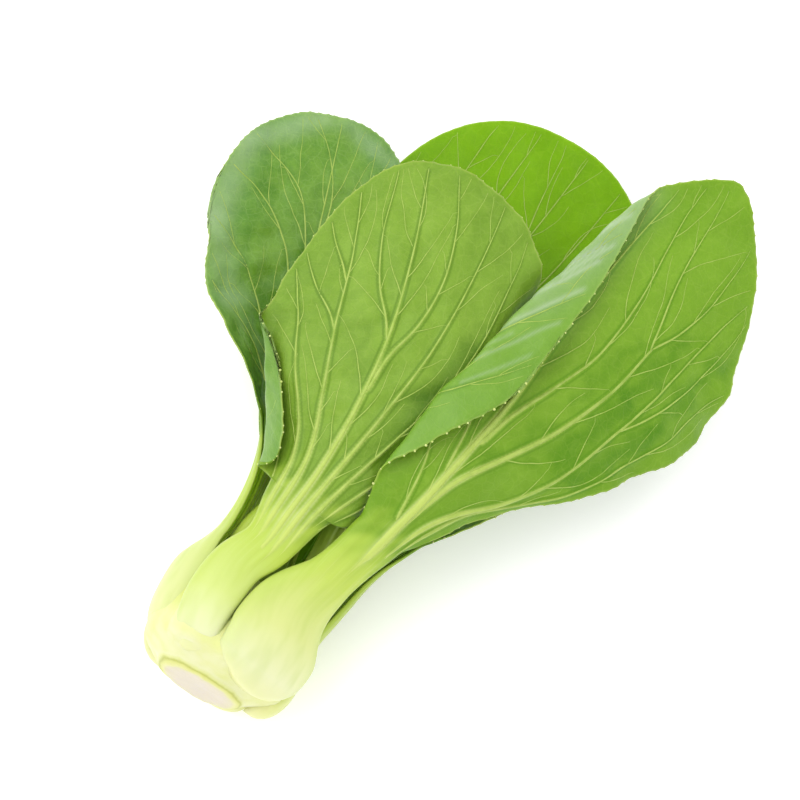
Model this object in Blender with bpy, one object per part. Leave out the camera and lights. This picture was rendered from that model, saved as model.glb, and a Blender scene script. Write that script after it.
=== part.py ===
"""One head of green-stalked bok choy, cut at the root and lying on its side.

The head's axis is level and runs along +Y, from the cut stem at the low end of Y to the leaf tips. Every leaf
is one curved sheet: a thick stalk with a crescent section that opens into a thin ribbed blade. Its outer face,
the underside of the leaf, is shaped first, and a Solidify modifier gives the sheet its varying wall. Sizes are
in millimetres and angles in degrees until a mesh is written in metres.
"""

import math
from dataclasses import dataclass

import bpy
import numpy as np

MM = 0.001

# The bulb, where the stalks' feet sit round the stem
BULB_SIDE = 1.5
AXIS_HEIGHT = 23.2
FOOT_PROFILE = ((0.9, 15.1), (3.0, 19.4), (8.5, 22.9), (17.0, 23.8), (28.0, 22.8))
FOOT_STATION = 19.0

# The stem, turned round the head's axis: distance along it and radius. Its cut slants, so that the lower side
# sticks out further, and its collar is fuller where the stalks above it sit higher.
STEM_PROFILE = (
    (-1.3, 0.0), (-1.4, 5.5), (-1.3, 10.8), (-0.6, 12.2), (0.3, 13.0), (1.2, 13.2),
    (3.4, 12.4), (7.0, 9.8), (12.0, 6.6), (18.0, 4.2), (22.0, 0.0),
)
STEM_SIDES = 48
CUT_SLANT = 0.15
COLLAR_BULGES = ((144.0, 56.0, 1.1), (207.0, 27.0, 1.6))  # middle and half width round the axis, and height

# Walls and gaps
BLADE_WALL = 0.8
EDGE_WALL = 1.5
JOIN_GAP = 0.3
RIB_HEIGHT = 0.55
FOLD_STATIONS = (0.0, 0.3, 0.65, 1.0)
SPINE_SAMPLES = 160
BEND_STEPS = 20

# Where the middle of the whole head's box lies, so that the frame's origin is under it
BOX_MIDDLE = (12.12, 93.71)


@dataclass(frozen=True)
class Leaf:
    """The sizes of one leaf. Its minus side is left of its spine, seen from outside with the root low."""

    name: str
    around: float  # where its foot sits round the head's axis, 0 at +X and 90 on top
    path: tuple  # x, y, z of the outer face's middle line past the foot, and the way that face looks
    stalk: float  # length of the pale stalk
    minus: tuple  # half width of the blade, and how far up the blade it is widest
    plus: tuple
    inset: float = 0.0  # how far inside the outer ring its foot sits
    lift: float = 0.0  # how far up the stem its foot sits
    half_widths: tuple = (9.5, 15.0, 9.0, 10.5)  # of the stalk, at root, foot, neck and join
    minus_widths: tuple = ()  # of the stalk's minus side, where they differ
    stalk_wall: tuple = (2.6, 6.0, 4.6, 3.8)  # at the middle, at root, foot, neck and join
    bend_radius: tuple = (14.5, 15.0, 13.0, 20.0)  # of the stalk's section, at root, foot, neck and join
    blade_bend: float = 90.0  # radius of the blade's section, negative where its sides rise
    tilt: float = 0.0  # turns the foot about its own middle line, so that one edge laps a neighbour
    outline_power: float = 2.2  # 2 for a round tip, more for a blunt one
    flare: float = 1.25  # how late the blade widens past the join
    root_round: float = 2.0  # how far the corners of its root are rounded off
    fold_minus: tuple = ()  # its places from the middle line, its turn, its width, and its start and end
    fold_plus: tuple = ()
    wave: tuple = (1.0, 34.0, 0.0)  # of the blade's margin: height, length and phase
    columns: int = 12
    stalk_rows: int = 8
    blade_rows: int = 11


def curve_through(stations, values, at):
    """Values between stations, on a smooth curve that doesn't overshoot them."""
    x, y, at = np.asarray(stations, float), np.asarray(values, float), np.asarray(at, float)
    slope = np.diff(y) / np.diff(x)
    tangent = np.concatenate([[slope[0]], (slope[:-1] + slope[1:]) / 2, [slope[-1]]])
    turns = np.concatenate([[False], slope[:-1] * slope[1:] <= 0, [False]])
    tangent[turns] = 0
    index = np.clip(np.searchsorted(x, at, side="right") - 1, 0, len(x) - 2)
    width = x[index + 1] - x[index]
    t = np.clip((at - x[index]) / width, 0, 1)
    return (
        y[index] * (1 + 2 * t) * (1 - t) ** 2
        + y[index + 1] * t**2 * (3 - 2 * t)
        + width * tangent[index] * t * (1 - t) ** 2
        - width * tangent[index + 1] * t**2 * (1 - t)
    )


def ramp(value):
    """0 below 0, 1 above 1, and a smooth rise between."""
    t = np.clip(value, 0, 1)
    return t * t * (3 - 2 * t)


class Spine:
    """The middle line of a leaf's outer face, read by the length along it."""

    def __init__(self, leaf):
        feet = [
            (
                BULB_SIDE + (radius - leaf.inset) * math.cos(math.radians(leaf.around)),
                along + leaf.lift,
                AXIS_HEIGHT + (radius - leaf.inset) * math.sin(math.radians(leaf.around)),
                leaf.around + leaf.tilt,
            )
            for along, radius in FOOT_PROFILE
        ]
        knots = np.array(feet + list(leaf.path), float)
        chords = np.sqrt(np.linalg.norm(np.diff(knots[:, :3], axis=0), axis=1))
        places = np.concatenate([[0], np.cumsum(chords)])
        fine = np.linspace(0, places[-1], SPINE_SAMPLES)
        points = np.stack([self.spline(places, knots[:, i], fine) for i in range(4)], axis=1)
        steps = np.linalg.norm(np.diff(points[:, :3], axis=0), axis=1)
        self.lengths = np.concatenate([[0], np.cumsum(steps)])
        self.points = points
        self.length = self.lengths[-1]

    @staticmethod
    def spline(places, values, at):
        """A Catmull-Rom curve through the values."""
        slope = np.gradient(values, places)
        index = np.clip(np.searchsorted(places, at, side="right") - 1, 0, len(places) - 2)
        width = places[index + 1] - places[index]
        t = (at - places[index]) / width
        return (
            values[index] * (1 + 2 * t) * (1 - t) ** 2
            + values[index + 1] * t**2 * (3 - 2 * t)
            + width * slope[index] * t * (1 - t) ** 2
            - width * slope[index + 1] * t**2 * (1 - t)
        )

    def frame_at(self, along):
        """Place, tangent, outward normal and sideways direction at these lengths."""
        read = [np.interp(along, self.lengths, self.points[:, i]) for i in range(4)]
        place = np.stack(read[:3], axis=-1)
        slopes = np.gradient(self.points[:, :3], self.lengths, axis=0)
        tangent = np.stack([np.interp(along, self.lengths, slopes[:, i]) for i in range(3)], axis=-1)
        tangent /= np.linalg.norm(tangent, axis=-1, keepdims=True)
        facing = np.radians(read[3])
        out = np.stack([np.cos(facing), np.zeros_like(facing), np.sin(facing)], axis=-1)
        out -= (out * tangent).sum(-1, keepdims=True) * tangent
        out /= np.linalg.norm(out, axis=-1, keepdims=True)
        return place, tangent, out, np.cross(tangent, out)


class Shape:
    """A leaf as a flat pattern, in lengths along and across it, and the bends that lift it into space."""

    def __init__(self, leaf):
        self.leaf = leaf
        self.spine = Spine(leaf)
        self.length = self.spine.length
        self.blade = self.length - leaf.stalk
        self.stations = (0.0, FOOT_STATION, 0.72 * leaf.stalk, leaf.stalk)
        self.middle_share = (leaf.minus[1] + leaf.plus[1]) / 2

    def stalk_value(self, values, along):
        """A size given at root, foot, neck and join, read at these lengths."""
        return curve_through(self.stations, values, np.minimum(along, self.leaf.stalk))

    def stalk_widths(self, side):
        """Half widths of one side of the stalk, at root, foot, neck and join."""
        return self.leaf.minus_widths if side < 0 and self.leaf.minus_widths else self.leaf.half_widths

    def half_width(self, along, side):
        """Half width at the ends of a row, for side -1 or 1."""
        width, widest = self.leaf.minus if side < 0 else self.leaf.plus
        stalk = self.stalk_value(self.stalk_widths(side), along)
        rise = np.clip((along - self.leaf.stalk) / (widest * self.blade), 0, 1)
        join = self.stalk_widths(side)[-1]
        opened = np.sin(np.pi / 2 * rise**self.leaf.flare)
        return np.where(along < self.leaf.stalk, stalk, join + (width - join) * opened)

    def flat_point(self, row, across):
        """(along, sideways) of the pattern. A row of the blade is 0 at the join and 1 on the far margin."""
        side = np.where(across < 0, -1, 1)
        rows, fan = np.broadcast_arrays(row, across)
        inside = np.clip(rows, 0, 1)
        stretch = self.leaf.stalk * (1 + rows)
        rounded = stretch - self.leaf.root_round * np.abs(fan) ** 3 * np.minimum(rows, 0)
        middle = self.blade * (self.middle_share * inside + (1 - self.middle_share) * inside**2)
        along, sideways = np.zeros(fan.shape), np.zeros(fan.shape)
        for which, (_, widest) in ((-1, self.leaf.minus), (1, self.leaf.plus)):
            end = widest * self.blade * inside
            power = 1 - (1 - 1 / self.leaf.outline_power) * inside
            arch = (1 - np.abs(fan) ** self.leaf.outline_power) ** power
            length = np.where(rows < 0, rounded, self.leaf.stalk + end + (middle - end) * arch)
            ends = np.where(rows < 0, stretch, self.leaf.stalk + end)
            chosen = side == which
            along = np.where(chosen, length, along)
            sideways = np.where(chosen, fan * self.half_width(ends, which), sideways)
        return along, sideways

    def fold_place(self, along, side):
        """How far from the middle line the fold of this side begins. It runs out at the join."""
        fold = self.leaf.fold_minus if side < 0 else self.leaf.fold_plus
        up = (along - self.leaf.stalk) / self.blade
        return curve_through(FOLD_STATIONS, fold[0], np.clip(up, 0, 1)) + 150 * np.maximum(-up, 0)

    def turn(self, along, distance, side):
        """How far the section has turned from the spine's normal, at a distance from the middle line."""
        leaf = self.leaf
        up = (along - leaf.stalk) / self.blade
        blend = ramp(up / 0.4)
        bent, folded = distance, 0.0
        fold = leaf.fold_minus if side < 0 else leaf.fold_plus
        if fold:
            _, angle, width, start, end = fold
            strength = ramp((up - start) / 0.25) * ramp((end - up) / 0.25)
            past = distance - self.fold_place(along, side)
            folded = math.radians(angle) * strength * ramp(past / width)
            if angle < -90:  # a flap follows the sheet that it lies on
                bent = distance - 2 * strength * np.maximum(past - width / 2, 0)
        stalk_turn = bent / self.stalk_value(leaf.bend_radius, along)
        return folded + stalk_turn * (1 - blend) + bent / leaf.blade_bend * blend

    def side_lines(self, row, side):
        """Places from the middle to the margin of one side, for each row, with three cells across its fold."""
        count = self.leaf.columns // 2
        even = np.linspace(0, 1, count + 1)
        fold = self.leaf.fold_minus if side < 0 else self.leaf.fold_plus
        if not fold:
            return np.ones_like(row) * even * (1.25 - 0.25 * even**2)
        first, last = np.full(row.shape, 0.5), np.full(row.shape, 0.6)
        for _ in range(4):
            along, sideways = self.flat_point(row, side * first)
            half = np.abs(sideways) / first
            first = np.clip(self.fold_place(along, side) / half, 0.25, 0.86)
            last = np.clip(first + fold[2] / half, first + 0.05, 0.94)
        inner = round(0.45 * count) if fold[1] < 0 else round(0.6 * count)
        shares = (0, inner / count, (inner + 3) / count, 1)
        places = np.concatenate([0 * first, first, last, 0 * first + 1], axis=1)
        return np.array([np.interp(even, shares, line) for line in places])

    def fan_lines(self, row):
        """Places across the leaf of the lines that run from root to margin, for each row."""
        minus, plus = self.side_lines(row, -1), self.side_lines(row, 1)
        return np.concatenate([-minus[:, :0:-1], plus], axis=1)

    def outer_face(self, row, across):
        """Points of the outer face and the outward normals there."""
        along, sideways = self.flat_point(row, across)
        place, _, out, side_way = self.spine.frame_at(along)
        side = np.where(across < 0, -1.0, 1.0) * np.ones_like(along)
        distance = np.abs(sideways)
        east, drop = np.zeros_like(along), np.zeros_like(along)
        final = np.zeros_like(along)
        for which in (-1, 1):
            here = side == which
            for step in range(BEND_STEPS):
                angle = self.turn(along, distance * (step + 0.5) / BEND_STEPS, which)
                east = np.where(here, east + np.cos(angle) * distance / BEND_STEPS, east)
                drop = np.where(here, drop + np.sin(angle) * distance / BEND_STEPS, drop)
            final = np.where(here, self.turn(along, distance, which), final)
        points = place + side_way * (side * east)[..., None] - out * drop[..., None]
        normals = out * np.cos(final)[..., None] + side_way * (side * np.sin(final))[..., None]
        points = points + normals * self.relief(along, across * np.ones_like(along), side)[..., None]
        points[..., 2] = np.maximum(points[..., 2], 0.0)
        return points, normals

    def relief(self, along, across, side):
        """Ribs that stand up on the outer face, and the wave of the blade's margin."""
        leaf = self.leaf
        height, length, phase = leaf.wave
        up = np.clip((along - leaf.stalk) / self.blade, 0, 1)
        wave = height * ramp(up / 0.3) * np.abs(across) ** 3 * np.sin(2 * np.pi * along / length + phase + side)
        count = across.shape[-1]
        tops = (np.arange(count) + count // 2 + 1) % 2
        tops[[0, -1]] = 0
        ribs = tops * ramp(along / 30)
        return wave + RIB_HEIGHT * (0.35 + 0.65 * ramp(up / 0.2)) * (1 - 0.6 * up) * ribs

    def wall(self, along, sideways, fan):
        """Thickness of the sheet: a crescent in the stalk, a midrib that thins out in the blade."""
        up = np.clip((along - self.leaf.stalk) / self.blade, 0, 1)
        middle = self.stalk_value(self.leaf.stalk_wall, along) * (1 - ramp(up / 0.9)) ** 1.2
        edge = EDGE_WALL + (BLADE_WALL - EDGE_WALL) * ramp(up / 0.1 + 0.4)
        reach = self.stalk_value(self.stalk_widths(1), along) * (1 - 0.8 * ramp(up / 0.35))
        body = np.where(along < self.leaf.stalk, fan, np.abs(sideways) / reach)
        return edge + np.maximum(middle - edge, 0) * np.clip(1 - body**2, 0, 1) ** 1.3


LEAVES = (
    Leaf(
        name="right_leaf",
        around=42.0,
        lift=-0.8,
        path=(
            (22.0, 38.0, 41.5, 50), (28.0, 56.0, 45.0, 58), (35.5, 79.0, 49.0, 66), (41.5, 101.0, 49.6, 72),
            (46.0, 123.0, 47.4, 75), (54.0, 155.3, 42.0, 78), (66.3, 192.0, 34.5, 80),
        ),
        stalk=60.0,
        minus=(32.5, 0.36),
        plus=(50.5, 0.63),
        inset=-0.4,
        flare=1.35,
        half_widths=(11.5, 16.0, 8.0, 8.5),
        minus_widths=(19.0, 19.8, 10.5, 9.5),
        bend_radius=(20.0, 27.0, 13.0, 20.0),
        outline_power=1.45,
        root_round=5.0,
        fold_minus=((9.6, 14.2, 12.0, 11.4), -154.0, 6.0, -0.10, 1.6),
        blade_bend=70.0,
        columns=20,
        stalk_rows=12,
        blade_rows=17,
    ),
    Leaf(
        name="top_leaf",
        around=100.0,
        tilt=-13.0,
        path=(
            (0.3, 39.0, 46.0, 98), (2.0, 49.0, 48.0, 94), (4.0, 62.0, 50.3, 92), (5.0, 80.0, 52.2, 90),
            (3.7, 103.0, 53.0, 90), (-2.0, 130.0, 51.5, 90), (-9.0, 154.0, 47.0, 90),
        ),
        lift=2.4,
        stalk=54.0,
        minus=(36.5, 0.31),
        plus=(38.5, 0.58),
        root_round=4.0,
        half_widths=(3.5, 5.2, 8.2, 11.0),
        minus_widths=(9.0, 12.5, 9.5, 11.5),
        bend_radius=(14.5, 15.0, 13.0, 20.0),
        outline_power=2.05,
        flare=0.55,
        fold_minus=((12.0, 28.0, 35.5, 40.0), -172.0, 5.0, -0.25, 0.55),
        fold_plus=((10.5, 15.5, 25.5, 38.0), 56.0, 8.0, -0.05, 1.6),
        columns=20,
        stalk_rows=11,
        blade_rows=16,
    ),
    Leaf(
        name="left_leaf",
        around=164.0,
        inset=0.2,
        lift=1.8,
        tilt=-12.0,
        path=(
            (-16.2, 39.0, 26.0, 176), (-15.2, 55.0, 24.5, 188), (-17.0, 70.0, 22.0, 215), (-24.5, 95.0, 19.0, 248),
            (-33.5, 125.0, 17.0, 260), (-47.0, 164.0, 11.0, 262),
        ),
        stalk=74.0,
        minus=(27.0, 0.60),
        plus=(31.5, 0.58),
        flare=1.0,
        half_widths=(8.0, 11.8, 8.5, 9.5),
        minus_widths=(5.0, 9.0, 8.0, 9.5),
        stalk_wall=(1.8, 5.6, 4.6, 3.8),
        bend_radius=(14.5, 17.0, 12.0, 20.0),
        columns=14,
        stalk_rows=11,
        blade_rows=14,
    ),
    Leaf(
        name="under_left_leaf",
        around=217.0,
        inset=-3.0,
        lift=-3.3,
        tilt=-3.0,
        path=(
            (-13.0, 40.0, 8.0, 230), (-11.5, 60.0, 8.5, 248), (-15.5, 85.0, 10.0, 262), (-22.0, 110.0, 10.0, 268),
            (-29.0, 140.0, 8.0, 270),
        ),
        stalk=78.0,
        minus=(22.0, 0.60),
        plus=(23.0, 0.60),
        half_widths=(11.0, 13.5, 7.5, 9.0),
        bend_radius=(13.5, 14.0, 12.0, 20.0),
        stalk_rows=11,
    ),
    Leaf(
        name="far_leaf",
        around=280.0,
        lift=-5.5,
        path=(
            (7.8, 40.0, 1.0, 276), (9.0, 62.0, 1.8, 273), (10.0, 90.0, 2.4, 270), (11.5, 120.0, 2.9, 270),
            (14.0, 155.0, 3.0, 270), (18.0, 191.5, 3.4, 270),
        ),
        stalk=82.0,
        minus=(42.0, 0.60),
        plus=(42.0, 0.60),
        half_widths=(12.5, 13.5, 8.0, 9.5),
        minus_widths=(8.5, 10.0, 8.0, 9.5),
        bend_radius=(13.5, 13.0, 12.0, 20.0),
        blade_bend=-400.0,
        wave=(0.6, 34.0, 0.0),
        columns=14,
        stalk_rows=11,
        blade_rows=13,
    ),
    Leaf(
        name="under_right_leaf",
        around=330.0,
        lift=-3.5,
        tilt=4.0,
        root_round=6.0,
        path=(
            (25.5, 40.0, 17.0, 335), (28.5, 56.0, 16.0, 316), (33.0, 75.0, 14.5, 290), (39.0, 105.0, 13.5, 274),
            (45.0, 145.0, 11.0, 270),
        ),
        stalk=70.0,
        minus=(24.0, 0.60),
        plus=(25.0, 0.60),
        half_widths=(7.5, 10.2, 8.5, 9.5),
        minus_widths=(11.0, 14.5, 8.5, 9.5),
        bend_radius=(13.5, 14.5, 12.0, 20.0),
        stalk_rows=11,
    ),
    Leaf(
        name="heart_leaf_1",
        around=30.0,
        inset=7.5,
        lift=13.0,
        path=((15.0, 55.0, 30.0, 45), (17.0, 70.0, 30.0, 60), (20.0, 90.0, 30.0, 75), (24.0, 118.0, 27.0, 80)),
        stalk=50.0,
        minus=(17.0, 0.60),
        plus=(17.0, 0.60),
        half_widths=(3.5, 7.0, 5.5, 6.5),
        stalk_wall=(1.8, 3.2, 2.8, 2.4),
        bend_radius=(8.0, 10.0, 10.0, 16.0),
        columns=8,
        stalk_rows=6,
        blade_rows=8,
    ),
    Leaf(
        name="heart_leaf_2",
        around=131.0,
        inset=7.8,
        lift=13.0,
        path=((-4.0, 55.0, 36.0, 125), (-8.0, 70.0, 37.0, 115), (-10.0, 90.0, 38.0, 105), (-13.0, 116.0, 35.0, 98)),
        stalk=50.0,
        minus=(17.0, 0.60),
        plus=(17.0, 0.60),
        half_widths=(3.5, 7.0, 5.5, 6.5),
        stalk_wall=(1.8, 3.2, 2.8, 2.4),
        bend_radius=(8.0, 10.0, 10.0, 16.0),
        columns=8,
        stalk_rows=6,
        blade_rows=8,
    ),
    Leaf(
        name="heart_leaf_3",
        around=265.0,
        inset=7.5,
        lift=13.0,
        path=((0.0, 55.0, 14.0, 268), (2.0, 70.0, 16.0, 268), (3.0, 90.0, 18.0, 270), (3.0, 120.0, 18.0, 270)),
        stalk=52.0,
        minus=(17.0, 0.60),
        plus=(17.0, 0.60),
        half_widths=(3.5, 7.0, 5.5, 6.5),
        stalk_wall=(1.8, 3.2, 2.8, 2.4),
        bend_radius=(8.0, 10.0, 10.0, 16.0),
        columns=8,
        stalk_rows=6,
        blade_rows=8,
    ),
)


def material(name, colour, roughness):
    """A plain surface of one colour."""
    made = bpy.data.materials.new(name)
    made.use_nodes = True
    shader = made.node_tree.nodes["Principled BSDF"]
    shader.inputs["Base Color"].default_value = (*colour, 1)
    shader.inputs["Roughness"].default_value = roughness
    shader.inputs["Metallic"].default_value = 0
    made.diffuse_color = (*colour, 1)
    return made


def add_object(name, mesh, finish, parent):
    """A named object on the head's empty, shaded smooth."""
    mesh.materials.append(finish)
    mesh.shade_smooth()
    thing = bpy.data.objects.new(name, mesh)
    thing.parent = parent
    bpy.context.scene.collection.objects.link(thing)
    return thing


def sheet_mesh(name, points):
    """A mesh of a grid of points, rows by columns, with every cell split along the same diagonal."""
    rows, columns = points.shape[:2]
    faces = []
    for i in range(rows - 1):
        for j in range(columns - 1):
            first = i * columns + j
            low, high = (first, first + 1), (first + columns, first + columns + 1)
            faces += [(low[0], low[1], high[1]), (low[0], high[1], high[0])]
    mesh = bpy.data.meshes.new(name)
    mesh.from_pydata((points.reshape(-1, 3) * MM).tolist(), [], faces)
    return mesh


def add_sheet(name, shape, rows, finish, parent):
    """One stretch of a leaf between two rows of its pattern, as a closed solid."""
    rows = np.asarray(rows)[:, None]
    fan = shape.fan_lines(rows)
    points, _ = shape.outer_face(rows, fan)
    along, sideways = shape.flat_point(rows, fan)
    walls = shape.wall(along, sideways, np.abs(fan) * np.ones_like(along)).reshape(-1)
    sheet = add_object(name, sheet_mesh(name, points), finish, parent)
    thickness = sheet.vertex_groups.new(name="wall")
    for index, wall in enumerate(walls):
        thickness.add([index], float(wall / walls.max()), "REPLACE")
    solid = sheet.modifiers.new("Wall", "SOLIDIFY")
    solid.thickness = float(walls.max()) * MM
    solid.offset = -1
    solid.vertex_group = thickness.name
    return sheet


def add_leaf(leaf, stalk_finish, blade_finish, parent):
    """The stalk and the blade of a leaf, with a fine gap where one grows into the other."""
    shape = Shape(leaf)
    half_gap = JOIN_GAP / 2
    stalk_end = -half_gap / leaf.stalk
    blade_start = half_gap / (shape.middle_share * shape.blade)
    add_sheet(
        f"{leaf.name}_stalk", shape, np.linspace(-1, stalk_end, leaf.stalk_rows + 1), stalk_finish, parent
    )
    add_sheet(
        f"{leaf.name}_blade", shape, np.linspace(blade_start, 1, leaf.blade_rows + 1), blade_finish, parent
    )


def collar_bulge(around):
    """How much fuller the stem's collar is than its profile at this angle."""
    total = 0.0
    for middle, half, height in COLLAR_BULGES:
        away = abs((around - middle + 180) % 360 - 180)
        total += height * math.cos(min(away / half, 1) * math.pi / 2)
    return total


def add_stem(finish, parent):
    """The solid stem, its profile turned round the head's axis."""
    mesh = bpy.data.meshes.new("stem")
    ring = np.arange(STEM_SIDES) * 2 * np.pi / STEM_SIDES
    points, loops = [], []
    for along, radius in STEM_PROFILE:
        count = STEM_SIDES if radius > 0 else 1
        loops.append(list(range(len(points), len(points) + count)))
        near = float(ramp(1 - along / 12))
        lip = float(ramp((3 - along) / 2) * ramp((radius - 11.4) / 1.4))
        for angle in ring[:count]:
            wide = radius + collar_bulge(math.degrees(angle)) * lip
            rise = wide * math.sin(angle)
            points.append((wide * math.cos(angle), along + CUT_SLANT * near * rise, AXIS_HEIGHT + rise))
    faces = []
    for low, high in zip(loops, loops[1:]):
        for k in range(STEM_SIDES):
            n = (k + 1) % STEM_SIDES
            if len(low) == 1:
                faces.append((low[0], high[k], high[n]))
            elif len(high) == 1:
                faces.append((low[n], low[k], high[0]))
            else:
                faces.append((low[n], low[k], high[k], high[n]))
    mesh.from_pydata((np.array(points) * MM).tolist(), [], faces)
    return add_object("stem", mesh, finish, parent)


def main():
    for thing in list(bpy.data.objects):
        bpy.data.objects.remove(thing, do_unlink=True)
    head = bpy.data.objects.new("head", None)
    head.location = (-BOX_MIDDLE[0] * MM, -BOX_MIDDLE[1] * MM, 0)
    bpy.context.scene.collection.objects.link(head)
    stalk_finish = material("pale_stalk", (0.72, 0.82, 0.42), 0.35)
    blade_finish = material("green_blade", (0.22, 0.45, 0.08), 0.45)
    stem_finish = material("cut_stem", (0.87, 0.82, 0.70), 0.6)
    add_stem(stem_finish, head)
    for leaf in LEAVES:
        add_leaf(leaf, stalk_finish, blade_finish, head)


main()
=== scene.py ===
"""One head of green-stalked bok choy, cut at the root and lying on its side, with its leaves finished in detail."""

import logging
import math
from collections.abc import Iterator, Sequence
from contextlib import contextmanager
from dataclasses import dataclass, replace
from enum import Enum
from typing import Any

import bpy
import numpy as np
from mathutils import Matrix, Vector


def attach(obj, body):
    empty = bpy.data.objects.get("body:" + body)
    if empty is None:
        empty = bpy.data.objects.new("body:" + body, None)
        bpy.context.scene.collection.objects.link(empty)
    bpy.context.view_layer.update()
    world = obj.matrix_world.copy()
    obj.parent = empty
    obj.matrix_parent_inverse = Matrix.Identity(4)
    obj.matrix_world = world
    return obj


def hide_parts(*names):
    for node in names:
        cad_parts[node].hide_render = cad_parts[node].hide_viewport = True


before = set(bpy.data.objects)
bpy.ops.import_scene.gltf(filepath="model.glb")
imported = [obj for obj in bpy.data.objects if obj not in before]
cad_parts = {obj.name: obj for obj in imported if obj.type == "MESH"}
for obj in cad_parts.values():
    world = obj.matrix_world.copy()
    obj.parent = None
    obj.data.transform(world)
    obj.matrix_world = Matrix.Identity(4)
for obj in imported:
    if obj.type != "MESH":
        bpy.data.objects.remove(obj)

LOG = logging.getLogger("bok_choy")
MM = 0.001
Array = np.ndarray
Colour = tuple[float, float, float]

# The bulb and the frame's origin, as the solids have them, in millimetres
BULB_SIDE = 1.5
AXIS_HEIGHT = 23.2
FOOT_PROFILE = ((0.9, 15.1), (3.0, 19.4), (8.5, 22.9), (17.0, 23.8), (28.0, 22.8))
FOOT_STATION = 19.0
NECK_SHARE = 0.72
FOLD_STATIONS = (0.0, 0.3, 0.65, 1.0)
BOX_MIDDLE = (12.12, 93.71)
EDGE_WALL = 1.5
MARGIN_WALL = 0.6

# How finely a leaf is worked out
SPINE_SAMPLES = 240
BEND_STEPS = 26

# How side veins grow, in millimetres and degrees, and how high veins stand
VEIN_STEP = 0.8
MEETING_GAP = 1.1
MARGIN_GAP = 1.5
SIDE_SPACING = (4.6, 8.6)
SIDE_ANGLES = (17, 36)
SIDE_CURL = (0.004, 0.03)
SIDE_REACH = (14, 36)
SIDE_HEIGHT = 0.6
RIDGE_HEIGHT = 0.34
RIDGE_STEPS = 22.0
TUBE_STEPS = 16.0

# Looks that all finishes share
DIMMED = 0.75
STALK_ROUGHNESS = 0.34
BUMP_HEIGHT = 0.0003


class Face(Enum):
    """The two faces of a leaf, and how deep a vein of half width 1 lies in each."""

    UNDERSIDE = 0.66
    UPPERSIDE = 0.5


def srgb(red: float, green: float, blue: float) -> Colour:
    """A colour given in 0 to 255 as seen, made linear and dimmed for the bright studio light."""
    shares = (red / 255, green / 255, blue / 255)
    return tuple(DIMMED * (c / 12.92 if c <= 0.04045 else ((c + 0.055) / 1.055) ** 2.4) for c in shares)


def ramp(value: Array) -> Array:
    """0 below 0, 1 above 1, and a smooth rise between."""
    t = np.clip(value, 0, 1)
    return t * t * (3 - 2 * t)


def hermite(x: Array, y: Array, slope: Array, at: Array) -> Array:
    """A smooth curve through values with given slopes, read at these places.

    Args:
        x: where the values are given, rising.
        y: the value at each.
        slope: the slope at each.
        at: where to read the curve.

    Returns:
        The value at each place.
    """
    index = np.clip(np.searchsorted(x, at, side="right") - 1, 0, len(x) - 2)
    width = x[index + 1] - x[index]
    t = np.clip((at - x[index]) / width, 0, 1)
    return (
        y[index] * (1 + 2 * t) * (1 - t) ** 2
        + y[index + 1] * t**2 * (3 - 2 * t)
        + width * slope[index] * t * (1 - t) ** 2
        - width * slope[index + 1] * t**2 * (1 - t)
    )


def curve_through(stations: Sequence[float], values: Sequence[float], at: Array) -> Array:
    """Values between stations, on a smooth curve that doesn't overshoot them.

    Args:
        stations: where the values are given, rising.
        values: the value at each station.
        at: where to read the curve.

    Returns:
        The value at each place.
    """
    x, y = np.asarray(stations, float), np.asarray(values, float)
    steps = np.diff(y) / np.diff(x)
    slope = np.concatenate([[steps[0]], (steps[:-1] + steps[1:]) / 2, [steps[-1]]])
    slope[1:-1][steps[:-1] * steps[1:] <= 0] = 0
    return hermite(x, y, slope, np.asarray(at, float))


def catmull(places: Array, values: Array, at: Array) -> Array:
    """A Catmull-Rom curve through the values, read at these places."""
    return hermite(places, values, np.gradient(values, places), at)


def waves(points: Array, length: float, seed: int, count: int = 5) -> Array:
    """A smooth random swell from about -1 to 1 over the points of a pattern.

    Args:
        points: places on the pattern, two numbers each.
        length: the usual distance between crests.
        seed: the swell's own seed.
        count: how many waves are added up.

    Returns:
        The swell at each place.
    """
    rng = np.random.default_rng(seed)
    total = np.zeros(points.shape[:-1])
    for _ in range(count):
        way, phase = rng.uniform(0, 2 * math.pi), rng.uniform(0, 6.3)
        step = 2 * math.pi / (length * rng.uniform(0.7, 1.5))
        total += np.sin(points[..., 0] * step * math.cos(way) + points[..., 1] * step * math.sin(way) + phase)
    return total / count**0.5 / 1.2


def running_length(points: Array) -> Array:
    """The length of a line up to each of its points."""
    return np.concatenate([[0], np.cumsum(np.linalg.norm(np.diff(points, axis=0), axis=1))])


def gaps_between(flat: Array, line: Array) -> Array:
    """The distance from each place on a pattern to each point of a line."""
    return np.hypot(flat[:, None, 0] - line[None, :, 0], flat[:, None, 1] - line[None, :, 1])


def slices(count: int, size: int) -> Iterator[slice]:
    """Parts of a long row that are small enough to be worked on at once."""
    for start in range(0, count, size):
        yield slice(start, start + size)


# The shader graphs


class Value:
    """A number socket whose operators add Math nodes."""

    def __init__(self, graph: "Graph", socket: Any) -> None:
        """Wraps a socket or a plain number."""
        self.graph, self.socket = graph, socket

    def __add__(self, other: Any) -> "Value":
        """Sum."""
        return self.graph.maths("ADD", self, other)

    def __sub__(self, other: Any) -> "Value":
        """Difference."""
        return self.graph.maths("SUBTRACT", self, other)

    def __rsub__(self, other: Any) -> "Value":
        """Difference, turned round."""
        return self.graph.maths("SUBTRACT", other, self)

    def __mul__(self, other: Any) -> "Value":
        """Product."""
        return self.graph.maths("MULTIPLY", self, other)

    def __truediv__(self, other: Any) -> "Value":
        """Quotient."""
        return self.graph.maths("DIVIDE", self, other)

    def __pow__(self, other: Any) -> "Value":
        """Power."""
        return self.graph.maths("POWER", self, other)

    __radd__ = __add__
    __rmul__ = __mul__


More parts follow.
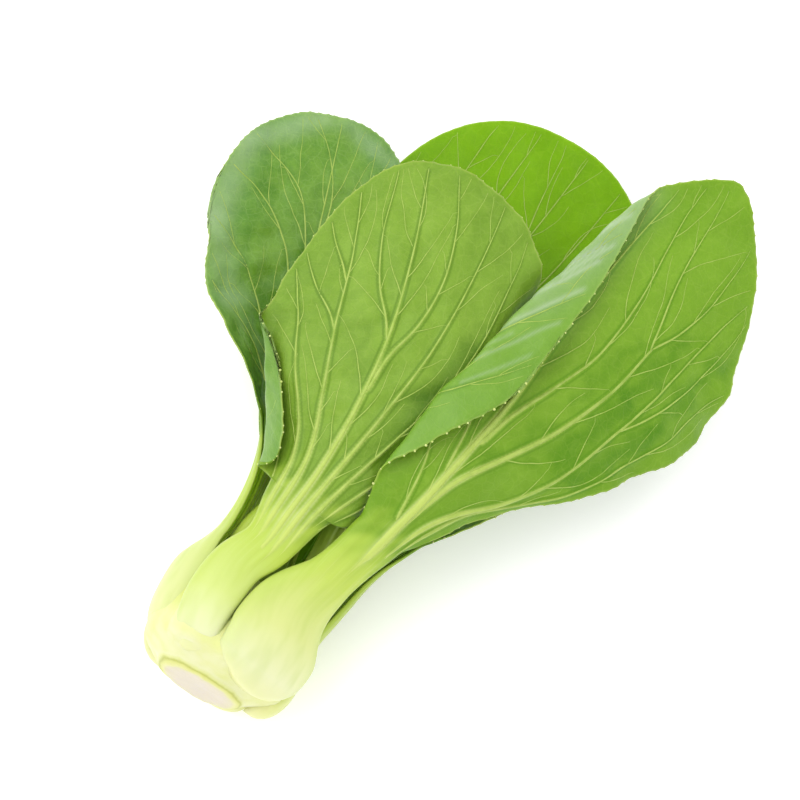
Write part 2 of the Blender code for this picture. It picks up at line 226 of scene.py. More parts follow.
class Graph:
    """The node tree of one material, built from a Principled shader back."""

    def __init__(self, name: str) -> None:
        """Makes the material and finds its shader."""
        self.material = bpy.data.materials.new(name)
        self.material.use_nodes = True
        self.tree = self.material.node_tree
        self.shader = self.tree.nodes["Principled BSDF"]

    def node(self, kind: str, settings: dict[str, Any] | None = None, **sockets: Any) -> Any:
        """Adds a node.

        Args:
            kind: the node's type.
            settings: its properties, set before its sockets; "stops" fills a colour ramp.
            sockets: values or links by socket name, with _ for a space, or i0, i1 by number.

        Returns:
            The node.
        """
        made = self.tree.nodes.new(kind)
        for key, value in (settings or {}).items():
            if key == "stops":
                self.fill_ramp(made, value)
            else:
                setattr(made, key, value)
        for key, value in sockets.items():
            numbered = key[0] == "i" and key[1:].isdigit()
            self.put(made.inputs[int(key[1:]) if numbered else key.replace("_", " ")], value)
        return made

    @staticmethod
    def fill_ramp(made: Any, stops: Sequence[tuple[float, Colour]]) -> None:
        """Gives a colour ramp its stops.

        Args:
            made: the node.
            stops: places from 0 to 1 and their colours.
        """
        elements = made.color_ramp.elements
        while len(elements) < len(stops):
            elements.new(0.5)
        for element, (place, colour) in zip(elements, stops):
            element.position = place
            element.color = (*colour, 1)

    def put(self, target: Any, value: Any) -> None:
        """Links or sets one socket.

        Args:
            target: the socket.
            value: a value, another socket or a plain number or colour.
        """
        if isinstance(value, Value):
            value = value.socket
        if isinstance(value, bpy.types.NodeSocket):
            self.tree.links.new(value, target)
        elif isinstance(value, tuple) and len(value) == 3 and len(target.default_value) == 4:
            target.default_value = (*value, 1)
        else:
            target.default_value = value

    def dress(self, **sockets: Any) -> bpy.types.Material:
        """Sets the shader's sockets by name, with _ for a space, and gives the material."""
        for key, value in sockets.items():
            self.put(self.shader.inputs[key.replace("_", " ")], value)
        return self.material

    def maths(self, operation: str, *values: Any) -> Value:
        """A Math node over values."""
        sockets = {f"i{k}": value for k, value in enumerate(values)}
        return Value(self, self.node("ShaderNodeMath", {"operation": operation}, **sockets).outputs[0])

    def smooth(self, value: Value, low: float, high: float) -> Value:
        """A smooth step from 0 at low to 1 at high."""
        made = self.node("ShaderNodeMapRange", {"interpolation_type": "SMOOTHSTEP"}, i0=value, i1=low, i2=high)
        return Value(self, made.outputs[0])

    def mix(self, factor: Any, first: Any, second: Any) -> Any:
        """A colour between two colours."""
        return self.node("ShaderNodeMix", {"data_type": "RGBA"}, i0=factor, i6=first, i7=second).outputs[2]

    def layers(self, shade: Any, *over: tuple[Any, Any]) -> Any:
        """A colour with others laid over it in turn, each given as its share and itself."""
        for share, colour in over:
            shade = self.mix(share, shade, colour)
        return shade

    def ramp(self, stops: Sequence[tuple[float, Colour]], place: Value) -> Any:
        """A colour read from stops."""
        return self.node("ShaderNodeValToRGB", {"stops": stops}, Fac=place).outputs[0]

    def place(self) -> Any:
        """Where a point of the piece lies."""
        return self.node("ShaderNodeTexCoord").outputs["Object"]

    def stretched(self, vector: Any, scale: Colour, shift: Colour = (0, 0, 0)) -> Any:
        """A pattern's coordinates, scaled and shifted."""
        return self.node("ShaderNodeMapping", Vector=vector, Location=shift, Scale=scale).outputs[0]

    def noise(self, vector: Any, scale: float, detail: float = 3.0, roughness: float = 0.5) -> Value:
        """A noise over a vector, 0 to 1."""
        made = self.node("ShaderNodeTexNoise", Vector=vector, Scale=scale, Detail=detail, Roughness=roughness)
        return Value(self, made.outputs[0])

    def cells(self, vector: Any, scale: float) -> Value:
        """The distance to the borders of random cells."""
        made = self.node("ShaderNodeTexVoronoi", {"feature": "DISTANCE_TO_EDGE"}, Vector=vector, Scale=scale)
        return Value(self, made.outputs[0])

    def bump(self, height: Value, strength: float) -> Any:
        """A normal from a height of up to 0.3 mm."""
        return self.node("ShaderNodeBump", Strength=strength, Distance=BUMP_HEIGHT, Height=height).outputs[0]

    def attribute(self, name: str) -> list[Value]:
        """The three numbers of a named attribute."""
        vector = self.node("ShaderNodeAttribute", {"attribute_name": name}).outputs["Vector"]
        return self.parts(vector)

    def parts(self, vector: Any) -> list[Value]:
        """The three numbers of a vector."""
        made = self.node("ShaderNodeSeparateXYZ", Vector=vector)
        return [Value(self, made.outputs[k]) for k in range(3)]


def flesh(weight: float, radius: Colour) -> dict[str, Any]:
    """The shader's settings for tissue that lets light in."""
    return {"Subsurface_Weight": weight, "Subsurface_Radius": radius, "Subsurface_Scale": 1.0}


@dataclass(frozen=True)
class StalkTones:
    """The colours of a stalk from root to join, and of its grooves and edges."""

    along: tuple[Colour, ...] = (
        srgb(238, 239, 166), srgb(238, 243, 190), srgb(216, 231, 136), srgb(194, 218, 92), srgb(172, 202, 66)
    )
    groove: Colour = srgb(184, 208, 66)


@dataclass(frozen=True)
class LeafFinish:
    """The colours and gloss of one face of a leaf.

    Network, the painted vein shadow and mottle say how strongly the fine net, the painted shadow lines along veins and
    the patches show.
    The dark colour serves both darker tissue and painted shade, and the sheen colour is a painted highlight.
    """

    name: str
    deep: Colour
    light: Colour
    dark: Colour
    vein: Colour
    # Painted highlight: a pale grey-green laid where sheen strokes lie, standing in for light glinting on creases and
    # edges
    painted_sheen: Colour = srgb(196, 214, 190)
    stalk: StalkTones = StalkTones()
    roughness: float = 0.42
    network: float = 0.11
    painted_vein_shadow: float = 0.42
    coat: float = 0.0
    mottle: float = 1.0
    gloss: float = 0.26

    def material(self, stalk_length: float) -> bpy.types.Material:
        """Builds the material from the pattern that the leaf's mesh carries.

        Args:
            stalk_length: how far up the pattern the stalk goes, in millimetres.

        Returns:
            The material.
        """
        g = Graph(self.name)
        sideways, along, pale = g.attribute("pattern")
        vein, margin, reach = g.attribute("detail")
        # The tone attribute holds the patches' darkening, which is partly painted shade, the distance inland, and the
        # strength of the painted sheen
        patch_and_shade, inland, painted_sheen_share = g.attribute("tone")
        flat = g.node("ShaderNodeCombineXYZ", X=sideways, Y=along).outputs[0]
        share = along / stalk_length
        grain = g.noise(flat, 1.3, 4.0, 0.65)
        fine = g.noise(g.stretched(flat, (1.7, 0.05, 1)), 1.0, 3.0, 0.6)
        broad = g.noise(g.stretched(flat, (1, 0.6, 1)), 0.075, 3.0, 0.55)
        middle = g.noise(flat, 0.28, 3.0, 0.6)
        web = self.web(g, flat)
        tone = g.smooth(broad, 0.34, 0.66) * 0.42 + g.smooth(middle, 0.34, 0.68) * 0.26 - 0.34
        tone = tone * self.mottle + 0.34 + g.smooth(inland, 0.0, 1.0) * 0.22 + (grain - 0.5) * 0.3
        # Painted shadow: a dark line along each side of a vein, standing in for the shade of the raised vein
        painted_vein_shadow = g.smooth(vein, 0.06, 0.24) * (1 - g.smooth(vein, 0.3, 0.6))
        green = g.layers(
            g.mix(tone, self.deep, self.light),
            # Patches: darker tissue, and painted shade where the blade runs into shadow
            (patch_and_shade, self.dark),
            (web * self.network, self.vein),
            (painted_vein_shadow * self.painted_vein_shadow, self.dark),
            (g.smooth(vein, 0.5, 0.95) * 0.75, self.vein),
            # Painted highlight: the sheen colour laid where sheen strokes lie
            (painted_sheen_share * 0.55, self.painted_sheen),
            (g.smooth(margin, 0.72, 1.0) * 0.5, self.vein),
        )
        stalk = g.mix(patch_and_shade, self.stalk_colour(g, flat, share, (reach, vein), fine), SCAR)
        shine = (self.roughness + (grain - 0.5) * 0.14 - painted_sheen_share * 0.06) * (1 - pale)
        high = g.smooth(share, 0.35, 0.9)
        height = (web * 0.3 + grain * 0.3 + middle * 0.4) * (1 - pale) + (fine * 0.4 * high + grain * 0.08) * pale
        return g.dress(
            Base_Color=g.mix(pale, green, stalk),
            Roughness=shine + (STALK_ROUGHNESS + (fine - 0.5) * 0.1) * pale,
            Specular_IOR_Level=self.gloss,
            Coat_Weight=self.coat,
            Coat_Roughness=0.28,
            Normal=g.bump(height, 0.45),
            **flesh(0.1, (0.003, 0.004, 0.001)),
        )

    @staticmethod
    def web(g: Graph, flat: Any) -> Value:
        """The net of the finest veins: lines between wide cells and threads between narrow ones.

        Args:
            g: the material's graph.
            flat: the pattern's coordinates.

        Returns:
            How strongly the net shows, 0 to 1.
        """
        drift = g.node("ShaderNodeTexNoise", Vector=flat, Scale=0.25, Detail=2.0).outputs[1]
        warp = {"operation": "MULTIPLY_ADD"}
        warped = g.node("ShaderNodeVectorMath", warp, i0=drift, i1=(2.4, 2.4, 0.0), i2=flat).outputs[0]
        lines = 1 - g.smooth(g.cells(warped, 0.3), 0.0, 0.07)
        threads = 1 - g.smooth(g.cells(warped, 0.85), 0.0, 0.13)
        return lines * 0.65 + threads * 0.35

    def stalk_colour(self, g: Graph, flat: Any, share: Value, across: tuple[Value, Value], fine: Value) -> Any:
        """The stalk's colour, with faint streaks that grow stronger upwards.

        Args:
            g: the material's graph.
            flat: the pattern's coordinates.
            share: how far up the stalk, 0 to 1.
            across: how far from the middle line to the edge, 0 to 1, and how near a vein.
            fine: a fine lengthwise noise.

        Returns:
            The colour's socket.
        """
        along, groove = self.stalk.along, self.stalk.groove
        streaks = g.noise(g.stretched(flat, (0.42, 0.022, 1)), 1.0, 3.0, 0.5)
        broad = g.noise(g.stretched(flat, (0.16, 0.05, 1)), 1.0, 2.0)
        high, foot = g.smooth(share, 0.35, 0.9), g.smooth(share, 0.05, 0.22)
        return g.layers(
            g.ramp(tuple(zip((0.02, 0.2, 0.42, 0.72, 1.0), along)), share),
            (g.smooth(broad, 0.42, 0.68) * foot * 0.22, groove),
            (g.smooth(streaks, 0.40, 0.66) * high * 0.45, groove),
            (g.smooth(fine, 0.5, 0.75) * high * 0.30, along[2]),
            (g.smooth(across[0], 0.5, 1.0) * (high * 0.2 + 0.34) * foot, groove),
            (g.smooth(across[1], 0.2, 1.0) * high * 0.4, along[1]),
        )


@dataclass(frozen=True)
class PlainFinish:
    """A finish for veins and margin beads: two colours with a fine grain."""

    name: str
    light: Colour
    deep: Colour
    base: Colour
    scale: float = 300.0
    roughness: float = 0.4

    def material(self) -> bpy.types.Material:
        """Builds the material, which turns to the base colour where the leaf is pale.

        Returns:
            The material.
        """
        g = Graph(self.name)
        pale = g.attribute("pattern")[2]
        grain = g.noise(g.place(), self.scale, 4.0, 0.6)
        return g.dress(
            Base_Color=g.mix(pale, g.mix(g.smooth(grain, 0.35, 0.68), self.light, self.deep), self.base),
            Roughness=self.roughness + (grain - 0.5) * 0.15,
            Specular_IOR_Level=0.3,
            Normal=g.bump(grain, 0.2),
            **flesh(0.1, (0.002, 0.0025, 0.0008)),
        )


# Leaves


@dataclass(frozen=True)
class Vein:
    """A main vein: its places on the pattern, sideways and along, and its half width where it starts and ends."""

    places: tuple[tuple[float, float], ...]
    start: float = 0.9
    end: float = 0.2

    def sample(self) -> tuple[Array, Array]:
        """Places and half widths along the vein.

        Returns:
            The places on the pattern and the half width at each.
        """
        knots = np.array(self.places, float)
        lengths = running_length(knots)
        at = np.linspace(0, lengths[-1], max(int(lengths[-1] / 1.1), 12))
        flat = np.stack([catmull(lengths, knots[:, k], at) for k in range(2)], axis=-1)
        return flat, self.start + (self.end - self.start) * (at / lengths[-1]) ** 0.75


@dataclass(frozen=True)
class Band:
    """A soft stroke on the pattern: its two ends, half width, how strongly it shows and how high it stands."""

    first: tuple[float, float]
    last: tuple[float, float]
    half: float
    strength: float = 1.0
    height: float = 0.0

    def over(self, flat: Array) -> Array:
        """How strongly the stroke shows at these places.

        Args:
            flat: places on the pattern, sideways and along.

        Returns:
            The strength at each place.
        """
        start, way = np.array(self.first), np.array(self.last) - np.array(self.first)
        share = np.clip(((flat - start) @ way) / max(float(way @ way), 1e-9), 0, 1)
        gap = np.linalg.norm(flat - start - share[:, None] * way, axis=1)
        return self.strength * np.exp(-((gap / self.half) ** 2))


@dataclass(frozen=True)
class LeafPlan:
    """The sizes of one leaf, as its solids have them, and what its finish adds.

    Minus and plus are the two sides: the blade's half width there and how far up it is widest. A fold has its places,
    its angle, how wide it rounds, and where up the blade it starts and ends. The scene adds the teeth, the ruffle of
    the edge, the beads, the veins' relief and spacing, and the quilting between them. Patches darken tissue and also
    paint shade where the blade runs into shadow; sheen strokes paint highlights, and some of them also raise a crease.
    """

    name: str
    around: float
    path: tuple
    stalk: float
    minus: tuple[float, float]
    plus: tuple[float, float]
    half_widths: tuple
    seed: int
    columns: int
    minus_widths: tuple = ()
    inset: float = 0.0
    lift: float = 0.0
    tilt: float = 0.0
    stalk_wall: tuple = (2.6, 6.0, 4.6, 3.8)
    bend_radius: tuple = (14.5, 15.0, 13.0, 20.0)
    blade_bend: float = 90.0
    outline_power: float = 2.2
    flare: float = 1.25
    root_round: float = 2.0
    fold_minus: tuple = ()
    fold_plus: tuple = ()
    wave: tuple = (1.0, 34.0, 0.0)
    veins: tuple[Vein, ...] = ()
    patches_and_painted_shade: tuple[Band, ...] = ()
    creases_and_painted_sheen: tuple[Band, ...] = ()
    stalk_rows: int = 40
    blade_rows: int = 90
    tooth_pitch: float = 3.6
    tooth_height: float = 0.3
    ruffle: float = 0.7
    bead: float = 1.0
    relief: float = 1.0
    spacing: float = 1.0
    quilt: float = 1.0
    edge: tuple[float, float] = (2.0, 0.9)


class Spine:
    """The middle line of a leaf's outer face, read by the length along it."""

    def __init__(self, plan: LeafPlan) -> None:
        """Lays the line through the foot and the plan's path.

        Args:
            plan: the leaf's sizes.
        """
        way = math.radians(plan.around)
        feet = [
            (
                BULB_SIDE + (radius - plan.inset) * math.cos(way),
                along + plan.lift,
                AXIS_HEIGHT + (radius - plan.inset) * math.sin(way),
                plan.around + plan.tilt,
            )
            for along, radius in FOOT_PROFILE
        ]
        knots = np.array(feet + list(plan.path), float)
        chords = np.sqrt(np.linalg.norm(np.diff(knots[:, :3], axis=0), axis=1))
        places = np.concatenate([[0], np.cumsum(chords)])
        fine = np.linspace(0, places[-1], SPINE_SAMPLES)
        self.points = np.stack([catmull(places, knots[:, i], fine) for i in range(4)], axis=1)
        self.lengths = running_length(self.points[:, :3])
        self.length = float(self.lengths[-1])
        self.slopes = np.gradient(self.points[:, :3], self.lengths, axis=0)

    def frame_at(self, along: Array) -> tuple[Array, Array, Array]:
        """Place, outward normal and sideways direction at these lengths.

        Args:
            along: lengths along the leaf, which may lie beyond its ends.

        Returns:
            Three rows of vectors, in millimetres.
        """
        read = [np.interp(along, self.lengths, self.points[:, i]) for i in range(4)]
        tangent = np.stack([np.interp(along, self.lengths, self.slopes[:, i]) for i in range(3)], axis=-1)
        tangent /= np.linalg.norm(tangent, axis=-1, keepdims=True)
        beyond = np.maximum(along - self.length, 0) + np.minimum(along, 0)
        facing = np.radians(read[3])
        out = np.stack([np.cos(facing), np.zeros_like(facing), np.sin(facing)], axis=-1)
        out -= (out * tangent).sum(-1, keepdims=True) * tangent
        out /= np.linalg.norm(out, axis=-1, keepdims=True)
        return np.stack(read[:3], axis=-1) + tangent * beyond[..., None], out, np.cross(tangent, out)


class LeafForm:
    """A leaf as a flat pattern and the bends, ribs, veins and teeth that make it a surface."""

    def __init__(self, plan: LeafPlan) -> None:
        """Prepares the pattern, the margin and the veins.

        Args:
            plan: the leaf's sizes.
        """
        self.plan = plan
        self.spine = Spine(plan)
        self.length = self.spine.length
        self.blade = self.length - plan.stalk
        self.stations = (0.0, FOOT_STATION, NECK_SHARE * plan.stalk, plan.stalk)
        self.middle_share = (plan.minus[1] + plan.plus[1]) / 2
        self.rng = np.random.default_rng(plan.seed)
        self.margin = self.margin_line()
        self.tips = self.tooth_places()
        rows, fans = np.meshgrid(np.linspace(0.01, 1, 110), np.linspace(-1, 1, 91), indexing="ij")
        self.table = self.flat_point(fans.ravel(), rows.ravel()), fans.ravel()
        chosen = plan.veins or self.plain_veins()
        starts = np.array([vein.places[0] for vein in chosen])
        mains = [self.carried_on(vein, starts) for vein in chosen]
        self.veins = mains + self.side_veins(mains)

    def stalk_value(self, values: Sequence[float], along: Array) -> Array:
        """A size given at root, foot, neck and join, read at these lengths."""
        return curve_through(self.stations, values, np.minimum(along, self.plan.stalk))

    def stalk_widths(self, side: int) -> tuple:
        """Half widths of one side of the stalk, at root, foot, neck and join."""
        return self.plan.minus_widths if side < 0 and self.plan.minus_widths else self.plan.half_widths

    def fold(self, side: int) -> tuple:
        """The fold of one side, empty where there is none."""
        return self.plan.fold_minus if side < 0 else self.plan.fold_plus

    def up_blade(self, along: Array) -> Array:
        """How far up the blade these lengths are, 0 at the join and 1 at the tip."""
        return (along - self.plan.stalk) / self.blade

    def half_at(self, sideways: Array, along: Array) -> Array:
        """Half width at these lengths, on the side of each place."""
        return np.where(sideways < 0, self.half_width(along, -1), self.half_width(along, 1))

    def half_width(self, along: Array, side: int) -> Array:
        """Half width at the ends of a row, for side -1 or 1.

        Args:
            along: lengths along the leaf.
            side: -1 or 1.

        Returns:
            The half width at each length.
        """
        width, widest = self.plan.minus if side < 0 else self.plan.plus
        widths = self.stalk_widths(side)
        rise = np.clip((along - self.plan.stalk) / (widest * self.blade), 0, 1)
        opened = widths[-1] + (width - widths[-1]) * np.sin(np.pi / 2 * rise**self.plan.flare)
        return np.where(along < self.plan.stalk, self.stalk_value(widths, along), opened)

    def flat_point(self, fan: Array, row: Array) -> Array:
        """Sideways and along on the pattern. A row of the blade is 0 at the join and 1 on the far margin.

        Args:
            fan: how far across the leaf, -1 to 1.
            row: which row, -1 at the root, 0 at the join and 1 on the far margin.

        Returns:
            The places, two numbers each.
        """
        plan = self.plan
        inside = np.clip(row, 0, 1)
        stretch = plan.stalk * (1 + row)
        rounded = stretch - plan.root_round * np.abs(fan) ** 3 * np.minimum(row, 0)
        middle = self.blade * (self.middle_share * inside + (1 - self.middle_share) * inside**2)
        along, sideways = np.zeros(fan.shape), np.zeros(fan.shape)
        for which, (_, widest) in ((-1, plan.minus), (1, plan.plus)):
            end = widest * self.blade * inside
            power = 1 - (1 - 1 / plan.outline_power) * inside
            arch = np.maximum(1 - np.abs(fan) ** plan.outline_power, 0) ** power
            length = np.where(row < 0, rounded, plan.stalk + end + (middle - end) * arch)
            ends = np.where(row < 0, stretch, plan.stalk + end)
            chosen = np.where(fan < 0, -1, 1) == which
            along = np.where(chosen, length, along)
            sideways = np.where(chosen, fan * self.half_width(ends, which), sideways)
        return np.stack([sideways, along], axis=-1)

    def fan_at(self, flat: Array) -> Array:
        """How far across the leaf these places are, -1 to 1.

        Args:
            flat: places on the pattern, sideways and along.

        Returns:
            The share across at each place.
        """
        places, fans = self.table
        found = np.zeros(len(flat))
        for part in slices(len(flat), 400):
            gap = (flat[part, None, 0] - places[None, :, 0]) ** 2 + (flat[part, None, 1] - places[None, :, 1]) ** 2
            weight = 1 / (gap**2 + 1e-3)
            found[part] = (weight * fans[None, :]).sum(axis=1) / weight.sum(axis=1)
        inside = np.clip(flat[:, 0] / self.half_at(flat[:, 0], flat[:, 1]), -1, 1)
        return np.where(flat[:, 1] < self.plan.stalk, inside, found)

    def margin_line(self) -> dict[str, Array]:
        """The blade's edge from join to join: its places, lengths and outward directions on the pattern.

        Returns:
            The line's share across, places, running lengths and outward directions.
        """
        side, tip = np.linspace(0.02, 1, 240)[:-1], np.linspace(-1, 1, 420)
        fan = np.concatenate([-np.ones(len(side)), np.sin(tip * math.pi / 2), np.ones(len(side))])
        flat = self.flat_point(fan, np.concatenate([side, np.ones(len(tip)), side[::-1]]))
        length = running_length(flat)
        along = np.gradient(flat, length + np.arange(len(length)) * 1e-6, axis=0)
        out = np.stack([-along[:, 1], along[:, 0]], axis=-1)
        out /= np.maximum(np.linalg.norm(out, axis=1, keepdims=True), 1e-9)
        return {"fan": fan, "flat": flat, "length": length, "out": out}

    def tooth_places(self) -> Array:
        """Where the teeth's tips lie along the margin.

        Returns:
            A length along the margin for each tooth.
        """
        total = self.margin["length"][-1]
        count = int(total / self.plan.tooth_pitch)
        even = (np.arange(count) + 0.5) * total / count
        return even + self.rng.uniform(-0.28, 0.28, count) * self.plan.tooth_pitch

    def near_margin(self, flat: Array) -> tuple[Array, Array, Array]:
        """Distance to the margin, length along it and outward direction, for places on the pattern.

        Args:
            flat: places on the pattern, sideways and along.

        Returns:
            The three values at each place.
        """
        distance, length, out = np.full(len(flat), 99.0), np.zeros(len(flat)), np.zeros((len(flat), 2))
        line = self.margin["flat"]
        for part in slices(len(flat), 4000):
            gaps = gaps_between(flat[part], line)
            best = gaps.argmin(axis=1)
            distance[part] = gaps.min(axis=1)
            length[part], out[part] = self.margin["length"][best], self.margin["out"][best]
        return distance, length, out

    def toothed(self, flat: Array) -> tuple[Array, Array, Array]:
        """The pattern with its teeth cut, the ruffle of its edge and the distance to the edge.

        Args:
            flat: places on the pattern, sideways and along.

        Returns:
            The moved places, the height of the ruffle and the distance to the margin.
        """
        plan = self.plan
        distance, length, out = self.near_margin(flat)
        blade = ramp((flat[:, 1] - plan.stalk - 2) / 12)
        gap = length[:, None] - self.tips[None, :]
        nearest = gap[np.arange(len(gap)), np.abs(gap).argmin(axis=1)] / plan.tooth_pitch
        tooth = 1 - np.clip(np.abs(np.where(nearest > 0, nearest * 2.6, nearest * 1.5)), 0, 1) ** 0.8
        push = plan.tooth_height * (tooth - 0.4) * np.clip(1 - distance / 2.6, 0, 1) ** 2 * blade
        swell = waves(np.stack([length, length * 0], axis=-1), 22.0, plan.seed + 3)
        ruffle = plan.ruffle * swell * np.clip(1 - distance / 12, 0, 1) ** 2 * blade
        ruffle = np.where((flat[:, 0] < 0) & bool(plan.fold_minus), 0.3, 1.0) * ruffle
        return flat + out * push[:, None], ruffle, distance

    def fold_place(self, along: Array, side: int) -> Array:
        """How far from the middle line the fold of this side begins. It runs out at the join."""
        up, run_out = self.up_blade(along), 150
        return curve_through(FOLD_STATIONS, self.fold(side)[0], np.clip(up, 0, 1)) + run_out * np.maximum(-up, 0)

    def turn(self, along: Array, distance: Array, side: int) -> Array:
        """How far the section has turned from the spine's normal, at a distance from the middle line.

        Args:
            along: lengths along the leaf.
            distance: distances from the middle line.
            side: -1 or 1.

        Returns:
            The angle at each place, in radians.
        """
        up = self.up_blade(along)
        blend = ramp(up / 0.4)
        bent, folded = distance, 0.0
        if self.fold(side):
            _, angle, width, start, end = self.fold(side)
            strength = ramp((up - start) / 0.25) * ramp((end - up) / 0.25)
            past = distance - self.fold_place(along, side)
            folded = math.radians(angle) * strength * ramp(past / width)
            if angle < -90:
                bent = distance - 2 * strength * np.maximum(past - width / 2, 0)
        stalk_turn = bent / self.stalk_value(self.plan.bend_radius, along)
        return folded + stalk_turn * (1 - blend) + bent / self.plan.blade_bend * blend

    def bend(self, along: Array, sideways: Array) -> tuple[Array, Array, Array]:
        """Where the section's bends bring these places: out to the side, down, and how far they have turned.

        Args:
            along: lengths along the leaf.
            sideways: distances from the middle line, less than 0 on one side.

        Returns:
            The three values at each place.
        """
        side = np.where(sideways < 0, -1, 1)
        east, drop, final = (np.zeros_like(along) for _ in range(3))
        steps = BEND_STEPS * (3 if self.plan.fold_minus else 1)
        for which in (-1, 1):
            here = side == which
            length, distance = along[here], np.abs(sideways[here])
            for step in range(steps):
                angle = self.turn(length, distance * (step + 0.5) / steps, which)
                east[here] += np.cos(angle) * distance / steps
                drop[here] += np.sin(angle) * distance / steps
            final[here] = self.turn(length, distance, which)
        return side * east, drop, side * final

    def plain_veins(self) -> list[Vein]:
        """The veins of a leaf that is mostly covered by others, spread evenly.

        Returns:
            A middle vein and three on each side.
        """
        plan, made = self.plan, []
        middle = tuple((0.0, plan.stalk + self.blade * share) for share in (-0.35, 0.2, 0.6, 0.95))
        made.append(Vein(middle, 1.1, 0.22))
        for side, (width, _) in ((-1, plan.minus), (1, plan.plus)):
            for across, up in (
                ((0.10, 0.22, 0.52, 0.72, 0.80), (-0.2, 0.06, 0.28, 0.50, 0.72)),
                ((0.05, 0.10, 0.32, 0.48, 0.52), (-0.1, 0.14, 0.42, 0.66, 0.86)),
                ((0.01, 0.06, 0.18, 0.27, 0.27), (0.34, 0.45, 0.62, 0.78, 0.92)),
            ):
                places = tuple((side * width * a, plan.stalk + self.blade * u) for a, u in zip(across, up))
                made.append(Vein(places, 0.75, 0.2))
        return made

    def depth_inside(self, flat: Array) -> Array:
        """How far inside the margin these places are, less than 0 outside it.

        Args:
            flat: places on the pattern, sideways and along.

        Returns:
            The depth at each place.
        """
        distance = self.near_margin(flat)[0]
        line, tip = self.margin["flat"], int(self.margin["flat"][:, 1].argmax())
        left = np.interp(flat[:, 1], line[:tip, 1], -line[:tip, 0])
        right = np.interp(flat[:, 1], line[tip:][::-1, 1], line[tip:][::-1, 0])
        half = np.where(flat[:, 0] < 0, left, right)
        return np.where((np.abs(flat[:, 0]) > half) | (flat[:, 1] > line[tip, 1]), -distance, distance)

    def kept(self, flat: Array, width: Array) -> tuple[Array, Array]:
        """A vein's places up to where it would come too near the margin.

        Args:
            flat: the vein's places on the pattern.
            width: its half width at each.

        Returns:
            The places and half widths that stay.
        """
        near = np.nonzero((self.depth_inside(flat) < 1.6) & (flat[:, 1] > self.plan.stalk + 3))[0]
        count = max(int(near[0]), 6) if len(near) else len(flat)
        return flat[:count], width[:count]

    def carried_on(self, vein: Vein, starts: Array) -> tuple[Array, Array, float]:
        """A main vein's places, half widths and height, drawn out thinly to the margin unless it forks.

        Args:
            vein: the main vein.
            starts: where all main veins start.

        Returns:
            Its places, half widths and height.
        """
        flat, width = self.kept(*vein.sample())
        width = width * (1 - 0.18 * ramp((flat[:, 1] - self.plan.stalk + 4) / 14))
        if np.hypot(*(starts - flat[-1]).T).min() < 2.0:
            return flat, width, 1.0
        way = flat[-1] - flat[-2]
        path = self.grow(flat[-1], math.atan2(way[0], way[1]), 0.0, 10.0, np.array([[1e3, 1e3]]))[1:]
        thin = np.linspace(width[-1], 0.1, len(path) + 1)[1:]
        return np.concatenate([flat, path]), np.concatenate([width, thin]), 1.0

    def appearing(self, flat: Array, steps: float) -> Array:
        """0 to 1 from a vein's start to where it shows in full, slowly for one that begins in the stalk."""
        return ramp((np.arange(len(flat)) + 0.5) / (steps if flat[0, 1] < self.plan.stalk + 6 else 2.0))

    def side_veins(self, mains: list) -> list:
        """Side veins that leave the main ones, curve towards the tip and stop before they meet another.

        Args:
            mains: the main veins' places, half widths and how raised each is.

        Returns:
            The side veins, each as the main ones are.
        """
        plan, rng = self.plan, self.rng
        taken, grown = [flat for flat, _, _ in mains], []
        for number, (flat, width, _) in enumerate(mains):
            length = running_length(flat)
            side = 1 if rng.random() < 0.5 else -1
            at = rng.uniform(3, 7)
            while at < length[-1] - 4:
                k = int(np.searchsorted(length, at))
                way = flat[min(k + 1, len(flat) - 1)] - flat[k - 1]
                at += rng.uniform(*SIDE_SPACING) * plan.spacing
                side = -side
                if flat[k, 1] < plan.stalk + 7:
                    continue
                heading = math.atan2(way[0], way[1]) + side * math.radians(rng.uniform(*SIDE_ANGLES))
                others = np.concatenate([line for j, line in enumerate(taken) if j != number])
                curl, reach = -side * rng.uniform(*SIDE_CURL), rng.uniform(*SIDE_REACH)
                path = self.grow(flat[k], heading, curl, reach, others)
                if len(path) > 8:
                    start = min(0.24 * float(width[k]) + 0.12, 0.32)
                    grown.append((path, np.linspace(start, 0.09, len(path)), SIDE_HEIGHT))
                    taken.append(path)
        return grown

    def grow(self, start: Array, heading: float, curl: float, reach: float, others: Array) -> Array:
        """A vein grown over the pattern in short steps, until it comes near the margin or another vein.

        Args:
            start: its first place.
            heading: its first direction, 0 towards the tip.
            curl: how much it turns in a millimetre.
            reach: how long it may grow.
            others: places of the veins that it may meet.

        Returns:
            The vein's places.
        """
        path, steps = [np.array(start)], int(reach / VEIN_STEP)
        wander = self.rng.uniform(-0.07, 0.07, steps + 1)
        for step in range(steps):
            heading += curl * VEIN_STEP + wander[step]
            place = path[-1] + VEIN_STEP * np.array([math.sin(heading), math.cos(heading)])
            gaps = np.hypot(*(others - place).T)
            if gaps.min() < MEETING_GAP:
                path.append(others[gaps.argmin()])
                break
            if self.depth_inside(place[None])[0] < MARGIN_GAP:
                break
            path.append(place)
        return np.array(path)

